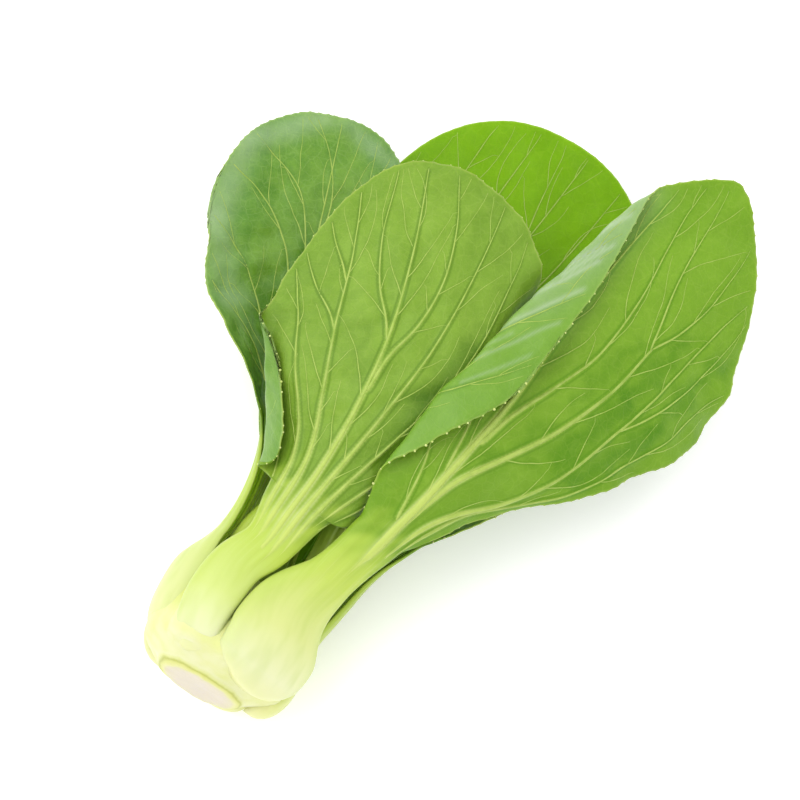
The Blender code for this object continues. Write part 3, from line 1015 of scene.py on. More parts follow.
    def ridge(self, flat: Array) -> tuple[Array, Array, Array]:
        """How high the veins' ridges stand at places on the pattern, how near the closest is, and its width.

        Args:
            flat: places on the pattern, sideways and along.

        Returns:
            The height, the nearness from 0 to 1, and the same counted for wide veins alone.
        """
        places = np.concatenate([line for line, _, _ in self.veins])
        width = np.concatenate([size for _, size, _ in self.veins])
        raised = np.concatenate([np.full(len(line), high) for line, _, high in self.veins])
        starts = np.concatenate([self.appearing(line, RIDGE_STEPS) for line, _, _ in self.veins])
        shows, span = raised * np.minimum(width / 0.6, 1.3) * starts, 0.55 + 0.95 * width
        height, near, rib = (np.zeros(len(flat)) for _ in range(3))
        for part in slices(len(flat), 2000):
            bell = np.exp(-((gaps_between(flat[part], places) / span) ** 2)) * shows
            best, top = bell.argmax(axis=1), bell.max(axis=1)
            near[part] = np.minimum(top, 1)
            rib[part] = near[part] * np.clip((width[best] - 0.35) / 0.7, 0, 1)
            height[part] = RIDGE_HEIGHT * self.plan.relief * top * (0.7 + 0.5 * width[best])
        return height, near, rib

    def surface(self, smooth_flat: Array, fan: Array) -> dict[str, Array]:
        """The outer face at these places.

        Args:
            smooth_flat: sideways and along on the pattern, before the teeth are cut.
            fan: -1 to 1 across the leaf.

        Returns:
            Points and normals in millimetres, and the values that the finish reads.
        """
        plan = self.plan
        flat, ruffle, inland = self.toothed(smooth_flat)
        sideways, along = flat[:, 0], flat[:, 1]
        place, out, side_way = self.spine.frame_at(along)
        east, drop, turned = self.bend(along, sideways)
        points = place + side_way * east[:, None] - out * drop[:, None]
        normals = out * np.cos(turned)[:, None] + side_way * np.sin(turned)[:, None]
        up = np.clip(self.up_blade(along), 0, 1)
        reach, opened = np.abs(fan), ramp(up / 0.2)
        ridge, near, rib = self.ridge(smooth_flat)
        size, length, phase = plan.wave
        turns = 2 * np.pi * along / length + phase + np.sign(sideways)
        wave = size * ramp(up / 0.3) * reach**3 * np.sin(turns)
        flutes = np.sin(fan * 11 + plan.seed) * 0.6 + np.sin(fan * 19 + 2 * plan.seed) * 0.4
        flute = 0.16 * flutes * ramp((along - 24) / 18) * (1 - opened) * ramp((1 - reach) / 0.15)
        puff = waves(smooth_flat, 15.0, plan.seed + 5) * 0.36 + waves(smooth_flat, 7.0, plan.seed + 6) * 0.15
        swell = waves(smooth_flat, 26.0, plan.seed + 7) * 0.22
        puff = puff * plan.quilt * opened * (1 - near) + swell * (1 - opened)
        soft = self.rounding(along, sideways, reach, up)
        height = ridge * ramp((along - 0.6 * plan.stalk) / 16) + flute + puff + ruffle + wave - soft
        # Painted highlights: sheen strokes, some of which also raise a crease
        painted_sheen = self.strokes(plan.creases_and_painted_sheen, flat)
        height += sum((band.height * band.over(flat) for band in plan.creases_and_painted_sheen), np.zeros(len(flat)))
        points = points + normals * height[:, None]
        points[:, 2] = np.maximum(points[:, 2], 0.0)
        margin = np.clip(1 - inland / 2.4, 0, 1) * ramp((along - plan.stalk) / 10)
        # Patches: darker tissue, a scar, and painted shade
        patch_and_shade = self.strokes(plan.patches_and_painted_shade, flat + waves(flat, 9.0, plan.seed + 8)[:, None] * 2.0)
        return {
            "points": points,
            "normals": normals,
            "pattern": np.stack([sideways, along, self.paleness(along, sideways, rib)], axis=-1),
            "detail": np.stack([near, margin, reach], axis=-1),
            # tone: patch darkening with its painted shade, distance inland, painted sheen
            "tone": np.stack([patch_and_shade, np.clip(inland / 20, 0, 1), painted_sheen], axis=-1),
            "wall": self.wall(along, sideways, reach, margin),
        }

    def strokes(self, bands: tuple[Band, ...], flat: Array) -> Array:
        """How strongly the strongest of these strokes shows at each place."""
        return np.clip(sum((band.over(flat) for band in bands), np.zeros(len(flat))), 0, 1)

    def rounding(self, along: Array, sideways: Array, reach: Array, up: Array) -> Array:
        """How far the outer face sinks where it rounds over into the root's end and the stalk's edges.

        Args:
            along: lengths along the leaf.
            sideways: distances from the middle line.
            reach: the share across, 0 to 1.
            up: how far up the blade.

        Returns:
            The depth at each place.
        """
        corner = self.plan.root_round * reach**3
        root = np.clip(1 - (along - corner) / 9.5, 0, 1)
        half = np.where(reach > 0.3, np.abs(sideways) / np.maximum(reach, 0.3), 50.0)
        width, drop = self.plan.edge
        edge = np.clip(1 - (1 - reach) * half / width, 0, 1) * (1 - ramp(up / 0.06))
        return (2.8 + 3.0 * reach**5) * root**2.2 + drop * (1 - np.sqrt(1 - edge**2)) * (1 - root)

    def paleness(self, along: Array, sideways: Array, rib: Array) -> Array:
        """1 on the pale stalk and 0 on the green blade, with the ribs pale for longer than the tissue between.

        Args:
            along: lengths along the leaf.
            sideways: distances from the middle line.
            rib: how near a wide vein is.

        Returns:
            The paleness at each place.
        """
        outward = np.clip(np.abs(sideways) / self.half_at(sideways, along), 0, 1)
        past = along - self.plan.stalk
        tissue = 1 - ramp((past + 9 + 9 * outward**2 - 3 * waves(np.stack([sideways, along], -1), 6, 9)) / 22)
        return np.maximum(tissue, 0.8 * rib * (1 - ramp((past - 4) / (0.46 * self.blade))))

    def wall(self, along: Array, sideways: Array, reach: Array, margin: Array) -> Array:
        """Thickness of the leaf: a crescent in the stalk, a midrib that thins out in the blade.

        Args:
            along: lengths along the leaf.
            sideways: distances from the middle line.
            reach: the share across, 0 to 1.
            margin: how near the margin is, 0 to 1.

        Returns:
            The wall at each place.
        """
        plan = self.plan
        up = np.clip(self.up_blade(along), 0, 1)
        middle = self.stalk_value(plan.stalk_wall, along) * (1 - ramp(up / 0.9)) ** 1.2
        edge = EDGE_WALL + (MARGIN_WALL - EDGE_WALL) * ramp(up / 0.1 + 0.4)
        span = self.stalk_value(self.stalk_widths(1), along) * (1 - 0.8 * ramp(up / 0.35))
        body = np.where(along < plan.stalk, reach, np.abs(sideways) / span)
        return (edge + np.maximum(middle - edge, 0) * np.clip(1 - body**2, 0, 1) ** 1.3) * (1 - 0.35 * margin)


def deselect() -> None:
    """Nothing selected and nothing in edit mode."""
    if bpy.context.mode != "OBJECT":
        bpy.ops.object.mode_set(mode="OBJECT")
    bpy.ops.object.select_all(action="DESELECT")


def choose(thing: bpy.types.Object) -> None:
    """Selects one object alone and makes it active."""
    deselect()
    thing.select_set(True)
    bpy.context.view_layer.objects.active = thing


def placed(name: str, data: Any) -> bpy.types.Object:
    """A new object in the scene."""
    made = bpy.data.objects.new(name, data)
    bpy.context.scene.collection.objects.link(made)
    return made


@contextmanager
def editing(thing: bpy.types.Object) -> Iterator[None]:
    """All of an object selected in edit mode."""
    choose(thing)
    bpy.ops.object.mode_set(mode="EDIT")
    bpy.ops.mesh.select_all(action="SELECT")
    yield
    bpy.ops.object.mode_set(mode="OBJECT")


def turn_outwards(thing: bpy.types.Object) -> None:
    """Points every face of a closed mesh outwards."""
    with editing(thing):
        bpy.ops.mesh.normals_make_consistent(inside=False)


def read_points(thing: bpy.types.Object) -> Array:
    """The places of an object's vertices."""
    points = np.empty(len(thing.data.vertices) * 3)
    thing.data.vertices.foreach_get("co", points)
    return points.reshape(-1, 3)


def write_attribute(thing: bpy.types.Object, name: str, values: Array) -> None:
    """Gives each vertex three numbers under a name."""
    attribute = thing.data.attributes.new(name, "FLOAT_VECTOR", "POINT")
    attribute.data.foreach_set("vector", np.ascontiguousarray(values, dtype=float).ravel())


def to_frame(points: Array) -> Array:
    """Design millimetres to metres in the frame."""
    return (points - np.array([*BOX_MIDDLE, 0.0])) * MM


@dataclass
class LeafPiece:
    """One leaf: a closed sheet from foot to tip, its raised veins and the pale tips of its teeth."""

    plan: LeafPlan
    faces: dict[Face, LeafFinish]
    veins: dict[Face, PlainFinish]
    tip: PlainFinish

    def build(self) -> list[bpy.types.Object]:
        """Models the leaf and its details.

        Returns:
            The sheet, the veins and the beads.
        """
        form = LeafForm(self.plan)
        made = [self.sheet(form), self.vein_tubes(form), self.tooth_tips(form)]
        for piece, slot in zip(made, ("green_blade", "pale_stalk", "pale_stalk")):
            piece.data.shade_smooth()
            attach(piece, "root")
        return made

    def sheet(self, form: LeafForm) -> bpy.types.Object:
        """The leaf's sheet, from a grid that is lifted into shape and given its wall.

        Args:
            form: the leaf's form.

        Returns:
            The sheet.
        """
        plan = self.plan
        rows = plan.stalk_rows + plan.blade_rows
        deselect()
        bpy.ops.mesh.primitive_grid_add(x_subdivisions=plan.columns, y_subdivisions=rows, size=2)
        sheet = bpy.context.active_object
        sheet.name = sheet.data.name = plan.name
        grid = read_points(sheet)
        across = grid[:, 0] * (1.2 - 0.2 * grid[:, 0] ** 2)
        line = np.rint((grid[:, 1] + 1) / 2 * rows).astype(int)
        stalk, blade = np.linspace(-1, 0, plan.stalk_rows + 1), np.linspace(0, 1, plan.blade_rows + 1)
        steps = np.concatenate([stalk - 0.25 * stalk * (1 + stalk), blade[1:] + 0.15 * blade[1:] * (1 - blade[1:])])
        face = form.surface(form.flat_point(across, steps[line]), across)
        sheet.data.vertices.foreach_set("co", to_frame(face["points"]).ravel())
        for name in ("pattern", "detail", "tone"):
            write_attribute(sheet, name, face[name])
        wall = face["wall"]
        group = sheet.vertex_groups.new(name="wall")
        levels = np.round(wall / wall.max(), 3)
        for level in np.unique(levels):
            group.add(np.nonzero(levels == level)[0].tolist(), float(level), "REPLACE")
        solid = sheet.modifiers.new("Wall", "SOLIDIFY")
        solid.thickness = float(wall.max()) * MM
        solid.offset = -1
        solid.vertex_group = group.name
        solid.material_offset = 1
        for side in Face:
            sheet.data.materials.append(self.faces[side].material(plan.stalk))
        choose(sheet)
        bpy.ops.object.modifier_apply(modifier=solid.name)
        turn_outwards(sheet)
        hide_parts(f"{plan.name}_stalk", f"{plan.name}_blade")
        return sheet

    def vein_tubes(self, form: LeafForm) -> bpy.types.Object:
        """The veins, raised on the underside and lying in the surface of the upper side.

        Args:
            form: the leaf's form.

        Returns:
            The veins.
        """
        curve = bpy.data.curves.new(f"{self.plan.name}_veins", "CURVE")
        curve.dimensions = "3D"
        curve.bevel_depth = 1.0
        curve.bevel_resolution = 1
        carried = []
        for flat, width, _ in form.veins:
            face = form.surface(flat, form.fan_at(flat))
            hidden = 1 - form.appearing(flat, TUBE_STEPS)
            size = width * (0.4 + 0.6 * (1 - hidden))
            for which, side in enumerate(Face):
                sink = size * (side.value + (1.05 - side.value) * hidden)
                depth = -sink if side is Face.UNDERSIDE else sink - face["wall"]
                points = face["points"] + face["normals"] * depth[:, None]
                points[:, 2] = np.maximum(points[:, 2], size)
                spline = curve.splines.new("POLY")
                spline.points.add(len(points) - 1)
                ends = np.ones((len(points), 1))
                spline.points.foreach_set("co", np.concatenate([to_frame(points), ends], axis=1).ravel())
                spline.points.foreach_set("radius", size * MM)
                spline.material_index = which
                carried.append(face["pattern"])
        veins = placed(curve.name, curve)
        for side in Face:
            curve.materials.append(self.veins[side].material())
        choose(veins)
        bpy.ops.object.convert(target="MESH")
        veins = bpy.context.active_object
        with editing(veins):
            bpy.ops.mesh.fill_holes(sides=0)
        values = np.concatenate(carried)
        write_attribute(veins, "pattern", np.repeat(values, len(veins.data.vertices) // len(values), axis=0))
        return veins

    def tooth_tips(self, form: LeafForm) -> bpy.types.Object:
        """A small pale bead on the tip of each tooth.

        Args:
            form: the leaf's form.

        Returns:
            The beads, as one piece.
        """
        margin = form.margin
        flat = np.stack([np.interp(form.tips, margin["length"], margin["flat"][:, k]) for k in range(2)], axis=-1)
        fan = np.interp(form.tips, margin["length"], margin["fan"])
        face = form.surface(flat, fan)
        sizes = form.rng.uniform(0.20, 0.34, len(flat)) * self.plan.bead * np.where(fan < -0.99, 1.15, 0.8)
        centres = face["points"] - face["normals"] * (face["wall"] * 0.5)[:, None]
        centres[:, 2] = np.maximum(centres[:, 2], sizes)
        deselect()
        bpy.ops.mesh.primitive_ico_sphere_add(subdivisions=1, radius=1)
        bead = bpy.context.active_object
        bead.name = bead.data.name = f"{self.plan.name}_tooth_tips"
        corners = read_points(bead)
        faces = np.array([p.vertices[:] for p in bead.data.polygons])
        points = np.concatenate([centre + corners * size for centre, size in zip(centres, sizes)])
        loops = np.concatenate([faces + k * len(corners) for k in range(len(centres))])
        bead.data.clear_geometry()
        bead.data.from_pydata(to_frame(points).tolist(), [], loops.tolist())
        bead.data.materials.append(self.tip.material())
        return bead


@dataclass
class CutStem:
    """The short stem that all leaves grow from, with its slanting cut face.

    The profile gives places along the axis and radii, from the cut upwards. The collar gives, by the angle round the
    axis, how wide the stem swells into the leaves' feet. The bulges stand out beside the cut.
    """

    profile: tuple = (
        (-1.3, 0.6), (-1.36, 3), (-1.4, 5.5), (-1.38, 8), (-1.32, 10), (-1.22, 10.8), (-1, 11.5),
        (-0.6, 12.2), (-0.15, 12.65), (0.3, 13), (0.75, 13.4), (1.3, 14.1), (2, 15.1), (2.8, 16.2),
        (3.7, 17.5), (4.7, 18.7), (5.8, 19.5), (7, 19.9), (8.4, 20.2), (10, 20.3), (12.5, 20.1),
        (15.5, 19.8), (19, 19.3), (23, 18.2), (26.5, 16), (29.5, 11), (32, 0.8),
    )
    collar: tuple = (
        (-180, 21.2), (-159, 22.4), (-141, 23.6), (-123, 23.8), (-108, 20.8), (-92, 21.6), (-76, 22.8),
        (-62, 22.8), (-51, 21.8), (-28, 23), (-9, 22.2), (4, 21), (15, 23.4), (40, 23.5), (66, 23.2),
        (78, 22.8), (87, 21.8), (96, 22.4), (105, 23), (113, 23.1), (121, 22.4), (130, 20.2), (145, 19.9),
        (163, 20.8), (180, 21.2),
    )
    collar_radius: float = 20.2
    slant: float = 0.15
    bulges: tuple = ((144, 56, 1.1), (207, 27, 1.6))
    sides: int = 144

    def build(self) -> bpy.types.Object:
        """Models the stem ring by ring from a disc.

        Returns:
            The stem.
        """
        deselect()
        bpy.ops.mesh.primitive_circle_add(vertices=self.sides, radius=self.profile[0][1], fill_type="TRIFAN")
        stem = bpy.context.active_object
        stem.name = stem.data.name = "cut_stem"
        with editing(stem):
            bpy.ops.transform.rotate(value=math.pi / 2, orient_axis="X", center_override=(0, 0, 0))
            bpy.ops.transform.translate(value=(0, self.profile[0][0], 0))
            bpy.ops.mesh.select_mode(type="EDGE")
            bpy.ops.mesh.region_to_loop()
            for (y0, r0), (y1, r1) in zip(self.profile, self.profile[1:]):
                bpy.ops.mesh.extrude_edges_move(TRANSFORM_OT_translate={"value": (0, y1 - y0, 0)})
                bpy.ops.transform.resize(value=(r1 / r0, 1, r1 / r0), center_override=(0, y1, 0))
            bpy.ops.mesh.edge_face_add()
        self.grow(stem)
        turn_outwards(stem)
        stem.data.shade_smooth()
        stem.data.materials.append(self.finish())
        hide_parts("stem")
        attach(stem, "root")
        return stem

    def grow(self, stem: bpy.types.Object) -> None:
        """Slants the cut, fills out the collar, makes the face slightly uneven and moves the stem to its place.

        Args:
            stem: the stem, still round and upright along its own axis.
        """
        points = read_points(stem)
        angle = np.arctan2(points[:, 2], points[:, 0])
        degrees = np.degrees(angle)
        radius, along = np.hypot(points[:, 0], points[:, 2]), points[:, 1]
        write_attribute(stem, "ring", np.stack([radius, along, radius * 0], axis=-1))
        bulge = np.zeros(len(points))
        for middle, half, height in self.bulges:
            away = np.abs((degrees - middle + 180) % 360 - 180)
            bulge += height * np.cos(np.minimum(away / half, 1) * np.pi / 2)
        lobes = (0.016 * np.sin(3 * angle + 0.6) + 0.01 * np.sin(5 * angle + 2.0)) * radius
        swell = np.interp(degrees, *np.array(self.collar, float).T) - self.collar_radius
        wide = radius + bulge * ramp((6.0 - along) / 5.0) * ramp((radius - 11.4) / 1.4) + lobes
        wide += swell * ramp((along - 0.6) / 4.8) * ramp((26.0 - along) / 12.0)
        rise = wide * np.sin(angle)
        place = np.stack([wide * np.cos(angle), rise], axis=-1)
        dish = 0.35 * np.exp(-((radius / 5.5) ** 2)) - 0.12 * np.exp(-(((radius - 10.6) / 0.8) ** 2))
        uneven = (waves(place, 6.0, 31) * 0.13 + waves(place, 2.4, 32) * 0.05 + dish) * ramp((11.8 - radius) / 1.2)
        along = along + self.slant * ramp(1 - along / 12) * rise + np.where(points[:, 1] < -0.9, uneven, 0)
        grown = np.stack([place[:, 0], along, AXIS_HEIGHT + rise], axis=-1)
        stem.data.vertices.foreach_set("co", to_frame(grown).ravel())

    @staticmethod
    def finish() -> bpy.types.Material:
        """Pinkish cream cut tissue, a yellow-green ring with an olive line round it, and a creamy collar.

        Returns:
            The material.
        """
        g = Graph("stem_cut")
        local = g.stretched(g.place(), (1000, 1000, 1000))
        radius, along, _ = g.attribute("ring")
        wobble = g.noise(local, 0.22, 3.0)
        grain = g.noise(local, 1.4, 4.0, 0.6)
        edge = radius + (wobble - 0.5) * 1.3
        stops = (
            (0.0, srgb(226, 216, 196)), (0.55, srgb(230, 219, 196)), (0.77, srgb(228, 220, 182)),
            (0.825, srgb(234, 233, 158)), (0.885, srgb(226, 228, 128)), (0.92, srgb(192, 198, 82)),
            (0.95, srgb(228, 232, 150)), (1.0, srgb(238, 240, 186)),
        )
        blotch = g.smooth(g.noise(local, 0.5, 3.0), 0.45, 0.7) * (1 - g.smooth(edge, 9.0, 10.4))
        cream = g.mix(g.smooth(g.noise(local, 0.13, 2.0), 0.3, 0.75), srgb(240, 241, 190), srgb(231, 235, 152))
        shade = g.layers(
            g.ramp(stops, edge / 13.2),
            (blotch * 0.5, srgb(226, 214, 206)),
            (g.smooth(grain, 0.5, 0.75) * 0.25, srgb(228, 212, 178)),
            (g.smooth(along, 0.0, 1.0), cream),
            (g.smooth(along, 4.0, 8.5) * 0.5, srgb(234, 240, 150)),
            (g.smooth(along, 10.0, 18.0) * 0.8, srgb(214, 226, 104)),
        )
        return g.dress(
            Base_Color=shade,
            Roughness=0.5 + (grain - 0.5) * 0.2,
            Normal=g.bump(grain + wobble * 0.4, 0.4),
            **flesh(0.15, (0.002, 0.0016, 0.001)),
        )


# Finishes of this head

GREEN_STALK = StalkTones(
    (srgb(238, 240, 168), srgb(243, 246, 196), srgb(230, 238, 154), srgb(204, 224, 104), srgb(174, 205, 74)),
    srgb(176, 206, 66),
)
INNER_STALK = StalkTones(
    (srgb(200, 214, 108), srgb(196, 214, 104), srgb(176, 202, 84), srgb(154, 188, 62), srgb(142, 180, 50)),
    srgb(140, 178, 44),
)
DIM_STALK = StalkTones(
    (srgb(240, 241, 168), srgb(230, 236, 146), srgb(204, 220, 106), srgb(178, 204, 74), srgb(162, 195, 60)),
    srgb(160, 190, 50),
)
PALE_STALK = StalkTones(
    (srgb(232, 235, 160), srgb(230, 235, 166), srgb(216, 228, 142), srgb(200, 222, 104), srgb(174, 205, 74)),
    srgb(180, 206, 76),
)
# Painted light: brighter and more saturated than the stalk's own colour, so that the inner face of the left leaf's
# stalk, deep in a shaded slit, looks as if light came through the thin tissue
PAINTED_BACKLIT_STALK = StalkTones(
    (srgb(236, 242, 160), srgb(234, 244, 140), srgb(220, 244, 90), srgb(204, 240, 60), srgb(160, 205, 50)),
    srgb(190, 236, 36),
)
TOP_UNDER = LeafFinish(
    "top_leaf_underside", srgb(108, 148, 34), srgb(144, 182, 60), srgb(84, 126, 14), srgb(190, 212, 104),
    painted_vein_shadow=0.55, mottle=0.7, gloss=0.2,
)
RIGHT_UNDER = LeafFinish(
    "right_leaf_underside", srgb(104, 150, 20), srgb(136, 179, 50), srgb(84, 138, 4), srgb(186, 212, 96),
    stalk=GREEN_STALK, painted_vein_shadow=0.55, mottle=0.5, gloss=0.16,
)
RIGHT_UPPER = LeafFinish(
    "right_leaf_upperside", srgb(106, 155, 36), srgb(134, 180, 58), srgb(84, 134, 18), srgb(172, 204, 100),
    painted_sheen=srgb(200, 218, 188), stalk=GREEN_STALK, roughness=0.36, network=0.10, mottle=0.6, gloss=0.3,
)
TOP_UPPER = LeafFinish(
    "top_leaf_upperside", srgb(100, 150, 38), srgb(138, 180, 76), srgb(80, 128, 26), srgb(180, 208, 112),
    stalk=INNER_STALK, roughness=0.36, gloss=0.4,
)
# Its stalk colour is painted light and its sheen colour a painted highlight
LEFT_UPPER = LeafFinish(
    "left_leaf_upperside", srgb(72, 130, 8), srgb(124, 168, 54), srgb(58, 112, 4), srgb(164, 198, 110),
    painted_sheen=srgb(178, 204, 160), stalk=PAINTED_BACKLIT_STALK, roughness=0.34, network=0.2, painted_vein_shadow=0.15, coat=0.06, gloss=0.3,
)
GREEN_INNER_STALK = StalkTones(
    (srgb(200, 214, 108), srgb(190, 212, 98), srgb(128, 178, 40), srgb(112, 166, 16), srgb(116, 170, 12)),
    srgb(84, 136, 8),
)
FAR_UPPER = LeafFinish(
    "far_leaf_upperside", srgb(108, 162, 3), srgb(138, 194, 6), srgb(92, 146, 2), srgb(180, 216, 76),
    stalk=GREEN_INNER_STALK, network=0.10, painted_vein_shadow=0.2, mottle=0.5, gloss=0.1,
)
PLAIN_UNDER = LeafFinish(
    "lower_leaf_underside", srgb(104, 150, 30), srgb(134, 174, 58), srgb(84, 130, 20), srgb(186, 210, 100),
    stalk=DIM_STALK, gloss=0.2,
)
PLAIN_UPPER = LeafFinish(
    "lower_leaf_upperside", srgb(66, 120, 10), srgb(106, 154, 36), srgb(52, 102, 6), srgb(158, 194, 92),
    stalk=INNER_STALK, roughness=0.36, gloss=0.4,
)
LEFT_UNDER = replace(TOP_UNDER, name="left_leaf_underside", stalk=PALE_STALK)
STALK_BASE = srgb(206, 224, 110)
SCAR = srgb(120, 128, 48)
VEINS = {
    Face.UNDERSIDE: PlainFinish("raised_vein", srgb(178, 205, 92), srgb(156, 189, 70), STALK_BASE),
    Face.UPPERSIDE: PlainFinish("sunken_vein", srgb(172, 204, 100), srgb(150, 188, 74), STALK_BASE),
}
FAR_VEINS = {**VEINS, Face.UPPERSIDE: PlainFinish("far_vein", srgb(182, 218, 62), srgb(160, 204, 36), STALK_BASE)}
TOOTH_TIP = PlainFinish("tooth_tip", srgb(224, 236, 150), srgb(200, 220, 112), STALK_BASE, 500.0, 0.35)

# Leaves of this head

TOP_LEAF = LeafPlan(
    name="top_leaf",
    around=100,
    tilt=-13,
    path=(
        (0.3, 39, 46, 98), (2, 49, 48, 94), (4, 62, 50.3, 92), (5, 80, 52.2, 90),
        (3.7, 103, 53, 90), (-2, 130, 51.5, 90), (-9, 154, 47, 90),
    ),
    lift=2.4,
    stalk=54,
    minus=(36.5, 0.31),
    plus=(38.5, 0.58),
    root_round=4,
    half_widths=(3.5, 5.2, 8.2, 11),
    minus_widths=(9, 12.5, 9.5, 11.5),
    outline_power=2.05,
    flare=0.55,
    fold_minus=((12, 28, 35.5, 40), -172, 5, -0.25, 0.55),
    fold_plus=((10.5, 15.5, 25.5, 38), 56, 8, -0.05, 1.6),
    seed=11,
    edge=(3, 1.5),
    spacing=1.1,
    columns=160,
    stalk_rows=70,
    blade_rows=215,
    veins=(
        Vein(((0, 30), (0, 66), (-0.5, 100), (-1, 130), (-2, 155)), 1.4, 0.24),
        Vein(((-2.8, 32), (-5, 66), (-11, 85), (-15, 101), (-17, 127), (-19, 146)), 1.2, 0.22),
        Vein(((-5.2, 34), (-9, 64), (-22, 89), (-28, 107), (-33, 124)), 1.1, 0.2),
        Vein(((-7.2, 46), (-13, 60), (-25, 75), (-32, 88)), 0.8, 0.2),
        Vein(((0.2, 88), (1.5, 99), (6, 110), (9, 123), (9, 138), (7, 153)), 0.8, 0.2),
        Vein(((2.4, 30), (4, 66), (7, 84), (12, 106), (16, 124), (20, 145)), 1.2, 0.2),
        Vein(((4.4, 34), (7.5, 62), (13, 80), (19, 96), (24, 112), (28, 134)), 1, 0.2),
        Vein(((6.2, 46), (11, 60), (19, 77), (26, 92), (31, 108), (34, 122)), 0.9, 0.18),
        Vein(((7.6, 48), (13.5, 58), (22, 70), (30, 84), (35, 98)), 0.7, 0.18),
        Vein(((-0.6, 103), (-2.5, 108), (-7, 117), (-10, 130), (-10, 153)), 0.6, 0.18),
        Vein(((-14.6, 100), (-17.5, 105), (-24, 113), (-31, 126)), 0.55, 0.18),
        Vein(((-16.2, 116), (-18.5, 121), (-23, 129), (-27, 139)), 0.5, 0.16),
    ),
    # The band at sideways 16, from along 70 to 93, is painted shade where the blade dips into the crevice by the right
    # leaf's fold
    patches_and_painted_shade=(
        Band((6, 70), (12, 88), 2.2, 0.35), Band((16, 70), (16.5, 93), 4, 0.9),
        Band((17, 95), (22, 110), 3, 0.6),
        Band((-5, 92), (-7, 106), 3, 0.25), Band((13, 120), (14, 140), 3.5, 0.25),
    ),
)
RIGHT_LEAF = LeafPlan(
    name="right_leaf",
    around=42,
    lift=-0.8,
    path=(
        (22, 38, 41.5, 50), (28, 56, 45, 58), (35.5, 79, 49, 66), (41.5, 101, 49.6, 72),
        (46, 123, 47.4, 75), (54, 155.3, 42, 78), (66.3, 192, 34.5, 80),
    ),
    stalk=60,
    minus=(32.5, 0.36),
    plus=(50.5, 0.63),
    inset=-0.4,
    flare=1.35,
    half_widths=(11.5, 16, 8, 8.5),
    minus_widths=(19, 19.8, 10.5, 9.5),
    bend_radius=(20, 27, 13, 20),
    outline_power=1.45,
    root_round=5,
    fold_minus=((9.6, 14.2, 12, 11.4), -166, 5.6, -0.10, 1.6),
    blade_bend=70,
    seed=22,
    spacing=1.5,
    columns=140,
    stalk_rows=70,
    blade_rows=250,
    bead=1.15,
    veins=(
        Vein(((0, 42), (0, 70), (-1, 95), (-2.5, 122), (-5, 150), (-8, 180)), 2, 0.3),
        Vein(((0, 96), (1, 107), (5, 122), (8, 136), (7, 152), (-3, 187)), 0.9, 0.2),
        Vein(((1.5, 62), (2.5, 84), (8, 99), (14, 115), (18, 134), (18, 151)), 1.3, 0.5),
        Vein(((18, 150), (15, 158), (10, 170), (3, 192)), 0.5, 0.18),
        Vein(((18, 151), (20.5, 160), (21, 175), (19, 186)), 0.5, 0.18),
        Vein(((3, 50), (7, 73), (19, 91), (25, 112), (28.5, 136), (28, 181)), 1.2, 0.2),
        Vein(((5, 54), (11, 77), (24, 95), (33, 112), (40, 132), (44, 160)), 0.9, 0.2),
        Vein(((27, 126), (31.5, 137), (35, 152), (34, 174)), 0.5, 0.18),
        Vein(((-1.5, 66), (-8, 84), (-19, 100), (-29, 118)), 0.7, 0.18),
        Vein(((-1.4, 84), (-8, 104), (-17, 122), (-25, 144)), 0.7, 0.18),
        Vein(((-2.2, 106), (-7, 124), (-14, 143), (-19, 163)), 0.6, 0.18),
        Vein(((-3.4, 130), (-8, 148), (-13, 166), (-15, 182)), 0.5, 0.16),
    ),
    patches_and_painted_shade=(
        Band((19, 108), (23.5, 134), 4.4, 0.8), Band((23.5, 138), (24, 160), 4, 0.7),
        Band((12, 124), (13.5, 148), 2.6, 0.5), Band((29, 110), (36, 134), 4, 0.8),
        Band((6, 94), (10, 112), 2.4, 0.5), Band((36, 138), (36, 166), 4, 0.7),
    ),
    # Painted highlights: whitish sheen over the folded flap, with most strokes also raising a fine crease
    creases_and_painted_sheen=(
        Band((-14, 138), (-18, 178), 8, 0.5), Band((-15, 118), (-24, 146), 0.8, 0.7, 0.35),
        Band((-13.6, 126), (-21, 156), 0.6, 0.8, 0.3), Band((-18, 112), (-27, 134), 0.6, 0.5, 0.3),
        Band((-13, 138), (-18.5, 160), 0.7, 0.9, 0.4), Band((-13, 150), (-17, 172), 0.7, 0.8, 0.3),
        Band((-20, 104), (-28, 122), 0.5, 0.4, 0.2), Band((-14.5, 108), (-20, 124), 0.5, 0.4, 0.2),
        Band((-17, 146), (-20.5, 162), 0.5, 0.7, 0.3), Band((-12.5, 160), (-14.5, 180), 0.5, 0.6, 0.2),
    ),
    edge=(4, 2.4),
    quilt=0.8,
)
